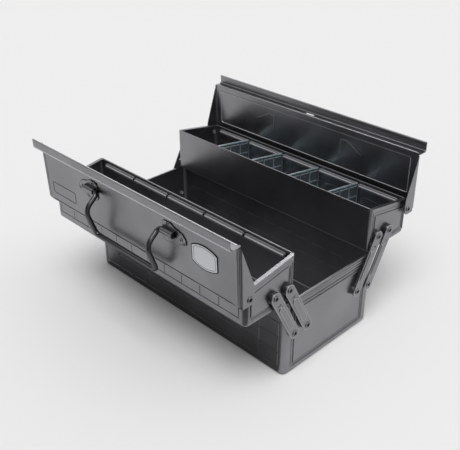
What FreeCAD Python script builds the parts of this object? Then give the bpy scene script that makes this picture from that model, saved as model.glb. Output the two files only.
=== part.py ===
import FreeCAD, Part
import math
import os

import Sketcher
from FreeCAD import Vector

# Two-stage cantilever tool box in pressed sheet steel, open as it stands in use.
# X runs along the box, Y across it with the rear at +Y, and Z is up. The origin lies on the surface
# that the box stands on, under the middle of the base.

# Driving dimensions in millimetres and degrees

SIZES = {
    # base tub
    "body_length": 340.0,
    "base_depth": 158.0,
    "base_height": 102.2,
    "sheet": 1.0,
    "base_corner_radius": 7.0,
    "base_bend_radius": 2.6,
    "rim_band_height": 9.0,
    "rim_band_proud": 0.8,
    "foot_rib_width": 8.0,
    "foot_rib_proud": 1.0,
    "foot_rib_margin": 5.0,
    "foot_rib_inner_place": 44.4,
    "foot_rib_outer_place": 134.4,
    # pressed grooves and beads
    "groove_width": 1.4,
    "groove_depth": 0.5,
    "groove_lead_in": 1.0,
    "brick_length": 29.2,
    "base_brick_height": 20.6,
    "base_brick_floor": 9.6,
    "tray_brick_height": 13.8,
    "tray_brick_floor": 9.8,
    "frame_margin_side": 14.5,
    "frame_margin_floor": 7.6,
    "base_frame_top": 86.0,
    "frame_corner_radius": 3.0,
    # trays
    "tray_depth": 75.0,
    "tray_inner_height": 58.4,
    "tray_outer_height": 45.8,
    "tray_outer_corner_radius": 7.0,
    "tray_inner_corner_radius": 4.0,
    "tray_bend_radius": 3.0,
    "tray_seat_gap": 0.3,
    "centre_half_gap": 0.6,
    "end_rim_width": 4.5,
    "long_rim_width": 2.0,
    "rim_corner_radius": 2.5,
    "ledge_drop": 6.4,
    "ledge_proud": 2.4,
    "ledge_height": 3.6,
    "ledge_edge_radius": 1.0,
    "ledge_margin": 11.5,
    "tray_frame_margin": 6.6,
    "tray_frame_drop": 8.0,
    # dividers
    "divider_pitch": 65.0,
    "divider_sheet": 1.0,
    "divider_slot": 1.6,
    "divider_end_gap": 0.3,
    "divider_floor_gap": 0.3,
    "divider_front_height": 54.6,
    "divider_rear_height": 44.0,
    "divider_hem_width": 2.2,
    "divider_hem_height": 2.6,
    "divider_rib_width": 1.8,
    "divider_rib_proud": 0.6,
    "divider_rib_margin": 7.0,
    # links and their rivets
    "link_length": 71.0,
    "link_angle": 28.0,
    "link_radius": 7.0,
    "link_sheet": 1.6,
    "link_rib_radius": 4.0,
    "link_rib_proud": 0.7,
    "link_rib_start": 17.0,
    "link_rib_end": 12.0,
    "link_slot_place": 13.0,
    "link_slot_length": 5.4,
    "link_slot_width": 1.3,
    "link_pivot_inner": 12.2,
    "link_pivot_outer": 34.2,
    "link_pivot_height": 20.2,
    "collar_length": 3.6,
    "collar_radius": 5.8,
    "side_play": 0.1,
    "rivet_radius": 2.0,
    "rivet_play": 0.05,
    "rivet_head_radius": 3.8,
    "rivet_head_height": 0.8,
    "rivet_end_proud": 1.6,
    # lids
    "front_lid_end_gap": 0.8,
    "rear_lid_end_gap": 4.5,
    "lid_collar_radius": 4.2,
    "lid_pivot_inset": 5.0,
    "lid_pivot_height": 35.6,
    "lid_panel_offset": 13.15,
    "lid_panel_drop": 7.25,
    "lid_panel_top": 69.5,
    "lid_bend_radius": 4.0,
    "lid_corner_radius": 3.6,
    "lid_skirt_gap": 0.4,
    "gusset_top_width": 2.2,
    "gusset_top_height": 65.5,
    "gusset_heel_height": 13.8,
    "gusset_heel_reach": 6.8,
    "gusset_boss_radius": 6.7,
    "ridge_step": 11.15,
    "ridge_bend_radius": 2.0,
    "front_ridge_height": 10.6,
    "rear_ridge_height": 12.8,
    "front_ridge_length": 340.7,
    "rear_ridge_length": 352.0,
    "front_lid_lean": 2.0,
    "rear_lid_lean": -1.0,
    "padlock_slot_length": 14.0,
    "padlock_slot_width": 4.8,
    "padlock_slot_inset": 2.4,
    "lid_bead_drop": 3.2,
    "lid_bead_margin": 12.0,
    "top_bead_height": 62.0,
    "top_bead_margin": 8.0,
    "panel_frame_left": 158.0,
    "panel_frame_right": 108.5,
    "panel_frame_bottom": 6.6,
    "panel_frame_top": 22.6,
    # handles and their brackets
    "handle_rod_radius": 3.0,
    "handle_axis_height": 43.6,
    "handle_panel_gap": 0.3,
    "handle_loop_play": 0.1,
    "handle_half_width": 55.0,
    "handle_end_place": 78.0,
    "handle_bow_reach": 19.0,
    "handle_bow_drop": 15.0,
    "handle_grip_reach": 8.1,
    "handle_grip_drop": 50.5,
    "handle_loop_bend": 5.2,
    "handle_bow_bend": 14.0,
    "handle_grip_bend": 6.0,
    "bracket_sheet": 1.0,
    "bracket_loop_start": 60.5,
    "bracket_loop_length": 18.0,
    "bracket_inner_edge": 58.5,
    "bracket_outer_edge": 94.5,
    "bracket_top": 54.6,
    "bracket_bottom": 29.6,
    "bracket_corner_radius": 3.0,
    "bracket_rivet_radius": 1.2,
    "bracket_rivet_head_radius": 2.2,
    "bracket_rivet_head_height": 0.7,
    "bracket_inner_rivet_place": 66.0,
    "bracket_inner_rivet_height": 51.6,
    "bracket_outer_rivet_place": 87.5,
    "bracket_outer_rivet_height": 41.1,
    "bracket_seat_margin": 1.0,
    "bracket_seat_proud": 0.5,
    # name plate, left blank
    "plate_middle": 121.5,
    "plate_width": 37.0,
    "plate_bottom": 24.6,
    "plate_top": 42.6,
    "plate_bulge": 5.0,
    "plate_thickness": 0.6,
    # cuts run this far past the faces that they open
    "overrun": 3.0,
}

BASE_BRICK_COLUMNS = 11
BASE_BRICK_ROWS = 4
TRAY_BRICK_COLUMNS = 11
TRAY_BRICK_ROWS = 2
DIVIDERS = 4
# Places of a divider's pressed ribs, as shares of its width and of its height at the rear
RIB_COLUMN_SHARES = (0.35, 0.68)
RIB_ROW_SHARES = (0.34, 0.68)
# Corners of a handle bracket, as shares along it from its inner edge and up it from its bottom
BRACKET_SHARES = (
    (0.0, 0.96),
    (0.33, 1.0),
    (0.55, 0.84),
    (0.86, 0.74),
    (1.0, 0.52),
    (1.0, 0.26),
    (0.76, 0.22),
    (0.52, 0.0),
    (0.32, 0.07),
    (0.12, 0.0),
    (0.0, 0.16),
)
REAR = 1
FRONT = -1
RIGHT = 1
LEFT = -1


class Size:
    """A number in millimetres or degrees together with the sheet formula that gives it."""

    def __init__(self, number, formula):
        self.number = number
        self.formula = formula

    def __add__(self, other):
        other = as_size(other)
        return Size(self.number + other.number, f"({self.formula} + {other.formula})")

    def __sub__(self, other):
        other = as_size(other)
        return Size(self.number - other.number, f"({self.formula} - {other.formula})")

    def __mul__(self, other):
        other = as_size(other)
        return Size(self.number * other.number, f"({self.formula} * {other.formula})")

    def __truediv__(self, other):
        other = as_size(other)
        return Size(self.number / other.number, f"({self.formula} / {other.formula})")

    def __neg__(self):
        return Size(-self.number, f"(-1 * {self.formula})")

    __radd__ = __add__
    __rmul__ = __mul__


def as_size(value):
    return value if isinstance(value, Size) else Size(float(value), f"({value})")


def sine(angle):
    return Size(math.sin(math.radians(angle.number)), f"sin({angle.formula})")


def cosine(angle):
    return Size(math.cos(math.radians(angle.number)), f"cos({angle.formula})")


class Sheet:
    """The driving dimensions as attributes, each a Size."""


doc = FreeCAD.newDocument("cantilever_tool_box")
sheet_object = doc.addObject("Spreadsheet::Sheet", "sizes")
dim = Sheet()
for row, (alias, number) in enumerate(SIZES.items(), start=1):
    sheet_object.set(f"A{row}", alias.replace("_", " "))
    sheet_object.set(f"B{row}", str(number))
    sheet_object.setAlias(f"B{row}", alias)
    setattr(dim, alias, Size(number, f"sizes.{alias}"))
doc.recompute()

nodes = []
CLOSE = 1e-4

# Sizes that several pieces share

half_length = dim.body_length / 2
link_reach = dim.link_length * sine(dim.link_angle)
link_rise = dim.link_length * cosine(dim.link_angle)
tray_place = dim.centre_half_gap + link_reach * 2
tray_floor = dim.base_height + dim.tray_seat_gap
link_base_height = tray_floor + dim.link_pivot_height - link_rise
collar_face = half_length + dim.collar_length
link_inner_face = collar_face + dim.side_play
link_outer_face = link_inner_face + dim.link_sheet
link_pivots = (dim.link_pivot_inner, dim.link_pivot_outer)
lid_pivot_place = dim.tray_depth - dim.lid_pivot_inset
tray_top_slope = (dim.tray_inner_height - dim.tray_outer_height) / dim.tray_depth
handle_axis_offset = dim.lid_panel_offset + dim.handle_rod_radius + dim.handle_panel_gap
rivet_bore = dim.rivet_radius + dim.rivet_play
bracket_rivet_bore = dim.bracket_rivet_radius + dim.rivet_play


def new_body(name):
    body = doc.addObject("PartDesign::Body", name)
    body.Label = name
    body.AllowCompound = True
    nodes.append(body)
    return body


def origin_part(body, role):
    return next(item for item in body.Origin.OriginFeatures if item.Role == role)


def new_sketch(body, name, plane, offset=None):
    sketch = body.newObject("Sketcher::SketchObject", name)
    sketch.AttachmentSupport = [(origin_part(body, plane), "")]
    sketch.MapMode = "FlatFace"
    if offset is not None:
        sketch.setExpression("AttachmentOffset.Base.z", offset.formula)
    return sketch


def pin(sketch, kind, element, place, size):
    """Hold one coordinate of a sketch point at a size from the sheet."""
    index = sketch.addConstraint(Sketcher.Constraint(kind, -1, 1, element, place, size.number))
    if "sizes." in size.formula:
        sketch.setExpression(f"Constraints[{index}]", size.formula)


def pin_point(sketch, element, place, x, y):
    pin(sketch, "DistanceX", element, place, as_size(x))
    pin(sketch, "DistanceY", element, place, as_size(y))


def bind_radius(sketch, element, radius):
    index = sketch.addConstraint(Sketcher.Constraint("Radius", element, radius.number))
    sketch.setExpression(f"Constraints[{index}]", radius.formula)


def circle(sketch, x, y, radius):
    x, y, radius = as_size(x), as_size(y), as_size(radius)
    centre = Vector(x.number, y.number, 0)
    element = sketch.addGeometry(Part.Circle(centre, Vector(0, 0, 1), radius.number))
    pin_point(sketch, element, 3, x, y)
    bind_radius(sketch, element, radius)


def corner_arc(before, corner, after, radius):
    """Tangent points and middle of the arc that rounds a corner."""
    back = (before - corner).normalize()
    ahead = (after - corner).normalize()
    half_turn = back.getAngle(ahead) / 2
    reach = radius / math.tan(half_turn)
    bisector = (back + ahead).normalize()
    centre = corner + bisector * (radius / math.sin(half_turn))
    return corner + back * reach, centre - bisector * radius, corner + ahead * reach


def turning_arc(sketch, start, middle, end):
    """Add the arc from start to end and give it with the numbers of those two ends.

    A sketch counts the ends of every arc anticlockwise.
    """
    curve = Part.Arc(start, middle, end).toShape().Curve
    leftwards = (middle - start).cross(end - middle).z > 0
    first, last = (start, end) if leftwards else (end, start)
    whole = Part.Circle(curve.Center, Vector(0, 0, 1), curve.Radius)
    arc = Part.ArcOfCircle(whole, whole.parameter(first), whole.parameter(last))
    return (sketch.addGeometry(arc), *((1, 2) if leftwards else (2, 1)))


def outline(sketch, corners):
    """A closed outline through corners (x, y) or, where the corner is rounded, (x, y, radius)."""
    corners = [tuple(as_size(value) for value in corner) for corner in corners]
    points = [Vector(corner[0].number, corner[1].number, 0) for corner in corners]
    count = len(points)
    bends = []
    for index, corner in enumerate(corners):
        before, after = points[index - 1], points[(index + 1) % count]
        if len(corner) == 3:
            bends.append(corner_arc(before, points[index], after, corner[2].number))
        else:
            bends.append((points[index], None, points[index]))
    lines = [
        sketch.addGeometry(Part.LineSegment(bends[index][2], bends[(index + 1) % count][0]))
        for index in range(count)
    ]
    for index, corner in enumerate(corners):
        before, after = lines[index - 1], lines[index]
        if len(corner) == 2:
            sketch.addConstraint(Sketcher.Constraint("Coincident", before, 2, after, 1))
            pin_point(sketch, after, 1, corner[0], corner[1])
            continue
        arc, near, far = turning_arc(sketch, *bends[index])
        sketch.addConstraint(Sketcher.Constraint("Tangent", before, 2, arc, near))
        sketch.addConstraint(Sketcher.Constraint("Tangent", after, 1, arc, far))
        bind_radius(sketch, arc, corner[2])
        point = sketch.addGeometry(Part.Point(points[index]), True)
        pin_point(sketch, point, 1, corner[0], corner[1])
        sketch.addConstraint(Sketcher.Constraint("PointOnObject", point, 1, before))
        sketch.addConstraint(Sketcher.Constraint("PointOnObject", point, 1, after))


def rectangle(sketch, x_low, x_high, y_low, y_high, radius=None):
    corners = [(x_low, y_low), (x_high, y_low), (x_high, y_high), (x_low, y_high)]
    if radius is not None:
        corners = [corner + (radius,) for corner in corners]
    outline(sketch, corners)


def extrude(body, kind, sketch, length, symmetric, along):
    feature = body.newObject(f"PartDesign::{kind}", f"{sketch.Name}_{kind.lower()}")
    feature.Profile = sketch
    feature.setExpression("Length", length.formula)
    if symmetric:
        feature.SideType = "Symmetric"
    else:
        feature.Reversed = along == (kind == "Pocket")
    before = body.Shape.Volume if kind == "Pocket" else 0
    doc.recompute()
    sound(feature)
    if kind == "Pocket" and not feature.Shape.Volume < before:
        raise RuntimeError(f"{feature.Name} cuts nothing")
    return feature


def sound(feature):
    if "Invalid" in feature.State or "Error" in feature.State or feature.Shape.isNull():
        raise RuntimeError(f"{feature.Name} failed: {feature.State}")


def pad(body, sketch, length, symmetric=False, along=True):
    return extrude(body, "Pad", sketch, length, symmetric, along)


def pocket(body, sketch, length, symmetric=False, along=True):
    return extrude(body, "Pocket", sketch, length, symmetric, along)


def fillet(body, name, radius, wanted):
    """Round the edges of the body's last feature that the test picks."""
    base = body.Tip
    edges = [
        f"Edge{number}" for number, edge in enumerate(base.Shape.Edges, start=1) if wanted(edge)
    ]
    feature = body.newObject("PartDesign::Fillet", name)
    feature.Base = (base, edges)
    feature.setExpression("Radius", radius.formula)
    doc.recompute()
    sound(feature)


def repeat(body, original, name, axis, pitch, count):
    """Copies of a feature in a row along an axis, pitch by pitch."""
    feature = body.newObject("PartDesign::LinearPattern", name)
    feature.Originals = [original]
    feature.Direction = (origin_part(body, axis), [""])
    feature.setExpression("Length", (pitch * (count - 1)).formula)
    feature.Occurrences = count
    body.Tip = feature
    doc.recompute()
    sound(feature)


def mirror(body, originals, name):
    """Copies of features at the other end of the box."""
    feature = body.newObject("PartDesign::Mirrored", name)
    feature.Originals = originals
    feature.MirrorPlane = (origin_part(body, "YZ_Plane"), [""])
    body.Tip = feature
    doc.recompute()
    sound(feature)


def place(body, y, z, lean=None, x=None):
    """Stand a body at its place, turned about X where it leans."""
    if x is not None:
        body.setExpression("Placement.Base.x", x.formula)
    body.setExpression("Placement.Base.y", y.formula)
    body.setExpression("Placement.Base.z", z.formula)
    if lean is not None:
        body.Placement.Rotation = FreeCAD.Rotation(Vector(1, 0, 0), lean.number)
        body.setExpression("Placement.Rotation.Angle", lean.formula)


def lies_at(edge, axis, level):
    """Whether both ends and the middle of an edge have one coordinate at a level."""
    middle = edge.valueAt((edge.FirstParameter + edge.LastParameter) / 2)
    points = [vertex.Point for vertex in edge.Vertexes] + [middle]
    return all(abs(point[axis] - level) < CLOSE for point in points)


def runs_along(edge, axis):
    if len(edge.Vertexes) < 2:
        return False
    span = edge.Vertexes[0].Point - edge.Vertexes[1].Point
    return abs(abs(span[axis]) - span.Length) < CLOSE


def tub_outline(sketch, depth_low, depth_high, inset, radius_low, radius_high):
    """A plan outline as long as the box, set in from the outer faces by an amount."""
    end = half_length - inset
    outline(
        sketch,
        [
            (-end, depth_low, radius_low),
            (end, depth_low, radius_low),
            (end, depth_high, radius_high),
            (-end, depth_high, radius_high),
        ],
    )


def brick_grid(body, prefix, walls, columns, rows, floor, height):
    """Pressed brick pattern in long walls, each given by its outer face and the way that it faces."""
    low = -(dim.brick_length * columns / 2)
    line = dim.groove_width
    upright = new_sketch(body, f"{prefix}_upright_groove", "XY_Plane", floor - line / 2)
    level = new_sketch(body, f"{prefix}_level_groove", "XY_Plane", floor - line / 2)
    for face, way in walls:
        near, far = face - dim.groove_depth * way, face + dim.groove_lead_in * way
        rectangle(upright, low - line / 2, low + line / 2, near, far)
        rectangle(level, low - line / 2, -low + line / 2, near, far)
    first = pocket(body, upright, height * rows + line)
    repeat(body, first, f"{prefix}_upright_grooves", "X_Axis", dim.brick_length, columns + 1)
    first = pocket(body, level, line)
    repeat(body, first, f"{prefix}_level_grooves", "Z_Axis", height, rows + 1)


def ring(sketch, corners_outside, corners_inside):
    outline(sketch, corners_outside)
    outline(sketch, corners_inside)


def end_frame(body, prefix, corners_outside, corners_inside):
    """A pressed frame line on both end walls."""
    sketch = new_sketch(body, f"{prefix}_frame", "YZ_Plane", half_length - dim.groove_depth)
    ring(sketch, corners_outside, corners_inside)
    groove = pocket(body, sketch, dim.groove_depth + dim.groove_lead_in)
    mirror(body, [groove], f"{prefix}_frames")


def bore_ends(body, name, spots, radius):
    """Holes through both end walls, given as places across and heights."""
    sketch = new_sketch(body, name, "YZ_Plane")
    for across, height in spots:
        circle(sketch, across, height, radius)
    pocket(body, sketch, dim.body_length * 2, symmetric=True)


def base_tub():
    body = new_body("base_tub")
    half_depth = dim.base_depth / 2
    height = dim.base_height - dim.foot_rib_proud
    inner_radius = dim.base_corner_radius - dim.sheet

    blank = new_sketch(body, "base_blank", "XY_Plane")
    radius = dim.base_corner_radius
    tub_outline(blank, -half_depth, half_depth, as_size(0), radius, radius)
    pad(body, blank, height)

    band = new_sketch(body, "base_rim_band", "XY_Plane", height - dim.rim_band_height)
    proud = dim.rim_band_proud
    tub_outline(band, -half_depth - proud, half_depth + proud, -proud, radius + proud, radius + proud)
    pad(body, band, dim.rim_band_height)

    hollow = new_sketch(body, "base_hollow", "XY_Plane", dim.sheet)
    near, far = dim.sheet - half_depth, half_depth - dim.sheet
    tub_outline(hollow, near, far, dim.sheet, inner_radius, inner_radius)
    pocket(body, hollow, height)
    fillet(
        body,
        "base_inner_bend",
        dim.base_bend_radius - dim.sheet,
        lambda edge: lies_at(edge, 2, dim.sheet.number),
    )
    fillet(body, "base_bend", dim.base_bend_radius, lambda edge: lies_at(edge, 2, 0))

    walls = ((half_depth, REAR), (-half_depth, FRONT))
    floor, brick = dim.base_brick_floor, dim.base_brick_height
    brick_grid(body, "base", walls, BASE_BRICK_COLUMNS, BASE_BRICK_ROWS, floor, brick)

    side = half_depth - dim.frame_margin_side
    line, turn = dim.groove_width, dim.frame_corner_radius
    low, high = dim.frame_margin_floor, dim.base_frame_top
    outside = [(-side, low, turn), (side, low, turn), (side, high, turn), (-side, high, turn)]
    side, low, high, turn = side - line, low + line, high - line, turn - line
    inside = [(-side, low, turn), (side, low, turn), (side, high, turn), (-side, high, turn)]
    end_frame(body, "base", outside, inside)

    ribs = new_sketch(body, "foot_ribs", "XY_Plane")
    reach = half_depth - dim.foot_rib_margin
    half_width = dim.foot_rib_width / 2
    for spot in (dim.foot_rib_inner_place, dim.foot_rib_outer_place):
        for centre in (spot, -spot):
            rectangle(ribs, centre - half_width, centre + half_width, -reach, reach)
    pad(body, ribs, dim.foot_rib_proud, along=False)

    spots = [
        ((dim.centre_half_gap + pivot + link_reach) * side, link_base_height - dim.foot_rib_proud)
        for pivot in link_pivots
        for side in (FRONT, REAR)
    ]
    bore_ends(body, "base_rivet_holes", spots, rivet_bore)
    place(body, as_size(0), dim.foot_rib_proud)


def tray_top_at(across):
    """Height of a tray's sloping top edge above its underside, so far out from its inner face."""
    return dim.tray_inner_height - tray_top_slope * across


def tray(name, side):
    """A compartment tray, from its inner face at the middle of the box outwards."""
    body = new_body(name)
    depth, wall = dim.tray_depth, dim.sheet
    outer_radius, inner_radius = dim.tray_outer_corner_radius, dim.tray_inner_corner_radius

    for kind, inset, shape in (("blank", as_size(0), pad), ("hollow", wall, pocket)):
        sketch = new_sketch(body, f"{name}_{kind}", "YZ_Plane")
        near, far = inset, depth - inset
        outline(
            sketch,
            [
                (near * side, inset),
                (far * side, inset),
                (far * side, tray_top_at(far) - inset),
                (near * side, tray_top_at(near) - inset),
            ],
        )
        shape(body, sketch, dim.body_length - inset * 2, symmetric=True)
    for label, across, radius in (
        ("inside_inner", wall, inner_radius - wall),
        ("inside_outer", depth - wall, outer_radius - wall),
        ("inner", as_size(0), inner_radius),
        ("outer", depth, outer_radius),
    ):
        level = (across * side).number
        fillet(
            body,
            f"{name}_{label}_corners",
            radius,
            lambda edge, level=level: runs_along(edge, 2) and lies_at(edge, 1, level),
        )
    for label, height, radius in (
        ("inside_bend", wall, dim.tray_bend_radius - wall),
        ("bend", as_size(0), dim.tray_bend_radius),
    ):
        level = height.number
        fillet(
            body, f"{name}_{label}", radius, lambda edge, level=level: lies_at(edge, 2, level)
        )

    mouth = new_sketch(body, f"{name}_mouth", "XY_Plane", tray_top_at(depth) - wall * 2)
    end = half_length - dim.end_rim_width
    rim = dim.long_rim_width
    rectangle(mouth, -end, end, rim * side, (depth - rim) * side, dim.rim_corner_radius)
    pocket(body, mouth, dim.tray_inner_height)

    ledges(body, name, side)
    walls = ((depth * side, side),)
    floor, brick = dim.tray_brick_floor, dim.tray_brick_height
    brick_grid(body, name, walls, TRAY_BRICK_COLUMNS, TRAY_BRICK_ROWS, floor, brick)

    near, far = dim.tray_frame_margin, depth - dim.tray_frame_margin
    line, turn, drop = dim.groove_width, dim.frame_corner_radius, dim.tray_frame_drop
    low = dim.frame_margin_floor
    outside = [
        (near * side, low, turn),
        (far * side, low, turn),
        (far * side, tray_top_at(far) - drop, turn),
        (near * side, tray_top_at(near) - drop, turn),
    ]
    near, far, low, drop, turn = near + line, far - line, low + line, drop + line, turn - line
    inside = [
        (near * side, low, turn),
        (far * side, low, turn),
        (far * side, tray_top_at(far) - drop, turn),
        (near * side, tray_top_at(near) - drop, turn),
    ]
    end_frame(body, name, outside, inside)

    spots = [(pivot * side, dim.link_pivot_height) for pivot in link_pivots]
    spots.append((lid_pivot_place * side, dim.lid_pivot_height))
    bore_ends(body, f"{name}_rivet_holes", spots, rivet_bore)
    place(body, tray_place * side, tray_floor)


def ledges(body, name, side):
    """Ledge beads along both long walls, broken where a divider slides in."""
    wall, depth = dim.sheet, dim.tray_depth
    half_height, turn = dim.ledge_height / 2, dim.ledge_edge_radius
    bars = new_sketch(body, f"{name}_ledges", "YZ_Plane")
    for root, tip, middle in (
        (wall / 2, wall + dim.ledge_proud, tray_top_at(as_size(0)) - dim.ledge_drop),
        (depth - wall / 2, depth - wall - dim.ledge_proud, tray_top_at(depth) - dim.ledge_drop),
    ):
        outline(
            bars,
            [
                (root * side, middle - half_height),
                (tip * side, middle - half_height, turn),
                (tip * side, middle + half_height, turn),
                (root * side, middle + half_height),
            ],
        )
    pad(body, bars, dim.body_length - dim.ledge_margin * 2, symmetric=True)

    level = tray_top_at(depth) - dim.ledge_drop - dim.ledge_height
    slot = new_sketch(body, f"{name}_divider_slot", "XY_Plane", level)
    first = -(dim.divider_pitch * (DIVIDERS - 1) / 2)
    reach = wall + dim.ledge_proud + dim.overrun
    for near, far in ((wall, reach), (depth - wall, depth - reach)):
        half_slot = dim.divider_slot / 2
        rectangle(slot, first - half_slot, first + half_slot, near * side, far * side)
    height = tray_top_at(as_size(0)) - wall * 2 - level
    cut = pocket(body, slot, height)
    repeat(body, cut, f"{name}_divider_slots", "X_Axis", dim.divider_pitch, DIVIDERS)


def divider(name, side, spot):
    """A slide-in partition with a folded top edge and pressed cross ribs."""
    body = new_body(name)
    end = dim.long_rim_width + dim.divider_end_gap
    near, far = end, dim.tray_depth - end
    low = dim.sheet + dim.divider_floor_gap
    drop = (dim.divider_front_height - dim.divider_rear_height) / (far - near)

    plate = new_sketch(body, f"{name}_plate", "YZ_Plane")
    outline(
        plate,
        [
            (near * side, low, dim.tray_bend_radius),
            (far * side, low, dim.tray_bend_radius),
            (far * side, dim.divider_rear_height),
            (near * side, dim.divider_front_height),
        ],
    )
    pad(body, plate, dim.divider_sheet, symmetric=True)

    def top_at(across):
        return dim.divider_front_height - drop * (across - near)

    hem = new_sketch(body, f"{name}_hem", "YZ_Plane")
    clear = dim.sheet + dim.ledge_proud + dim.divider_end_gap
    start, stop = clear, dim.tray_depth - clear
    outline(
        hem,
        [
            (start * side, top_at(start) - dim.divider_hem_height),
            (stop * side, top_at(stop) - dim.divider_hem_height),
            (stop * side, top_at(stop)),
            (start * side, top_at(start)),
        ],
    )
    pad(body, hem, dim.divider_hem_width, symmetric=True)

    half_rib, margin = dim.divider_rib_width / 2, dim.divider_rib_margin
    thickness = dim.divider_sheet + dim.divider_rib_proud * 2
    ribs = (("upright", RIB_COLUMN_SHARES), ("level", RIB_ROW_SHARES))
    for kind, shares in ribs:
        lines = new_sketch(body, f"{name}_{kind}_ribs", "YZ_Plane")
        for share in shares:
            if kind == "upright":
                middle = near + (far - near) * share
                left, right = middle - half_rib, middle + half_rib
                bottom, top = low + margin, top_at(middle) - margin
            else:
                middle = low + (dim.divider_rear_height - low) * share
                left, right = near + margin, far - margin
                bottom, top = middle - half_rib, middle + half_rib
            rectangle(lines, left * side, right * side, bottom, top)
        pad(body, lines, thickness, symmetric=True)
    place(body, tray_place * side, tray_floor, x=spot)


def stadium(sketch, low, high, radius):
    """A slot outline along the sketch's vertical axis, from one round end's centre to the other."""
    low, high = as_size(low), as_size(high)
    up, out = Vector(0, radius.number, 0), Vector(radius.number, 0, 0)
    bottom, top = Vector(0, low.number, 0), Vector(0, high.number, 0)
    lower, _, _ = turning_arc(sketch, bottom - out, bottom - up, bottom + out)
    right = sketch.addGeometry(Part.LineSegment(bottom + out, top + out))
    upper, _, _ = turning_arc(sketch, top + out, top + up, top - out)
    left = sketch.addGeometry(Part.LineSegment(top - out, bottom - out))
    for line, line_end, arc, arc_end in (
        (left, 2, lower, 1),
        (right, 1, lower, 2),
        (right, 2, upper, 1),
        (left, 1, upper, 2),
    ):
        sketch.addConstraint(Sketcher.Constraint("Tangent", line, line_end, arc, arc_end))
    pin_point(sketch, lower, 3, as_size(0), low)
    pin_point(sketch, upper, 3, as_size(0), high)
    bind_radius(sketch, lower, radius)


def link(name, side, end, pivot):
    """A swinging link between base and tray, with an embossed rib and a short slot near its top."""
    body = new_body(name)
    outwards = end == RIGHT
    inner_face = link_inner_face * end
    plate = new_sketch(body, f"{name}_plate", "YZ_Plane", inner_face)
    stadium(plate, 0, dim.link_length, dim.link_radius)
    for height in (as_size(0), dim.link_length):
        circle(plate, 0, height, rivet_bore)
    pad(body, plate, dim.link_sheet, along=outwards)

    low = dim.link_rib_end + dim.link_rib_radius
    high = dim.link_length - dim.link_rib_start - dim.link_rib_radius
    outer_face = (link_inner_face + dim.link_sheet) * end
    rib = new_sketch(body, f"{name}_rib", "YZ_Plane", outer_face)
    stadium(rib, low, high, dim.link_rib_radius)
    pad(body, rib, dim.link_rib_proud, along=outwards)

    slot = new_sketch(body, f"{name}_slot", "YZ_Plane", inner_face)
    half_length_of_slot, half_width = dim.link_slot_length / 2, dim.link_slot_width / 2
    height = dim.link_length - dim.link_slot_place
    rectangle(
        slot, -half_length_of_slot, half_length_of_slot, height - half_width, height + half_width
    )
    pocket(body, slot, dim.link_sheet + dim.overrun, along=outwards)
    across = dim.centre_half_gap + pivot + link_reach
    place(body, across * side, link_base_height, lean=dim.link_angle * (-side))


def collars(name, spots, radius, length, y, z):
    """Round spacers that hold links or a lid off the end walls."""
    body = new_body(name)
    sketch = new_sketch(body, f"{name}_rings", "YZ_Plane", half_length)
    for across, height in spots:
        circle(sketch, across, height, radius)
        circle(sketch, across, height, rivet_bore)
    mirror(body, [pad(body, sketch, length)], f"{name}_both_ends")
    place(body, y, z)


def rivets(name, spots, outer_face, y, z):
    """Rivets through both end walls, each a shank with a flat head outside."""
    body = new_body(name)
    inner_end = half_length - dim.sheet - dim.rivet_end_proud
    head_top = outer_face + dim.rivet_head_height
    made = []
    for kind, radius, start in (
        ("shanks", dim.rivet_radius, inner_end),
        ("heads", dim.rivet_head_radius, outer_face),
    ):
        sketch = new_sketch(body, f"{name}_{kind}", "YZ_Plane", start)
        for across, height in spots:
            circle(sketch, across, height, radius)
        made.append(pad(body, sketch, head_top - start))
    mirror(body, made, f"{name}_both_ends")
    place(body, y, z)


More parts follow.
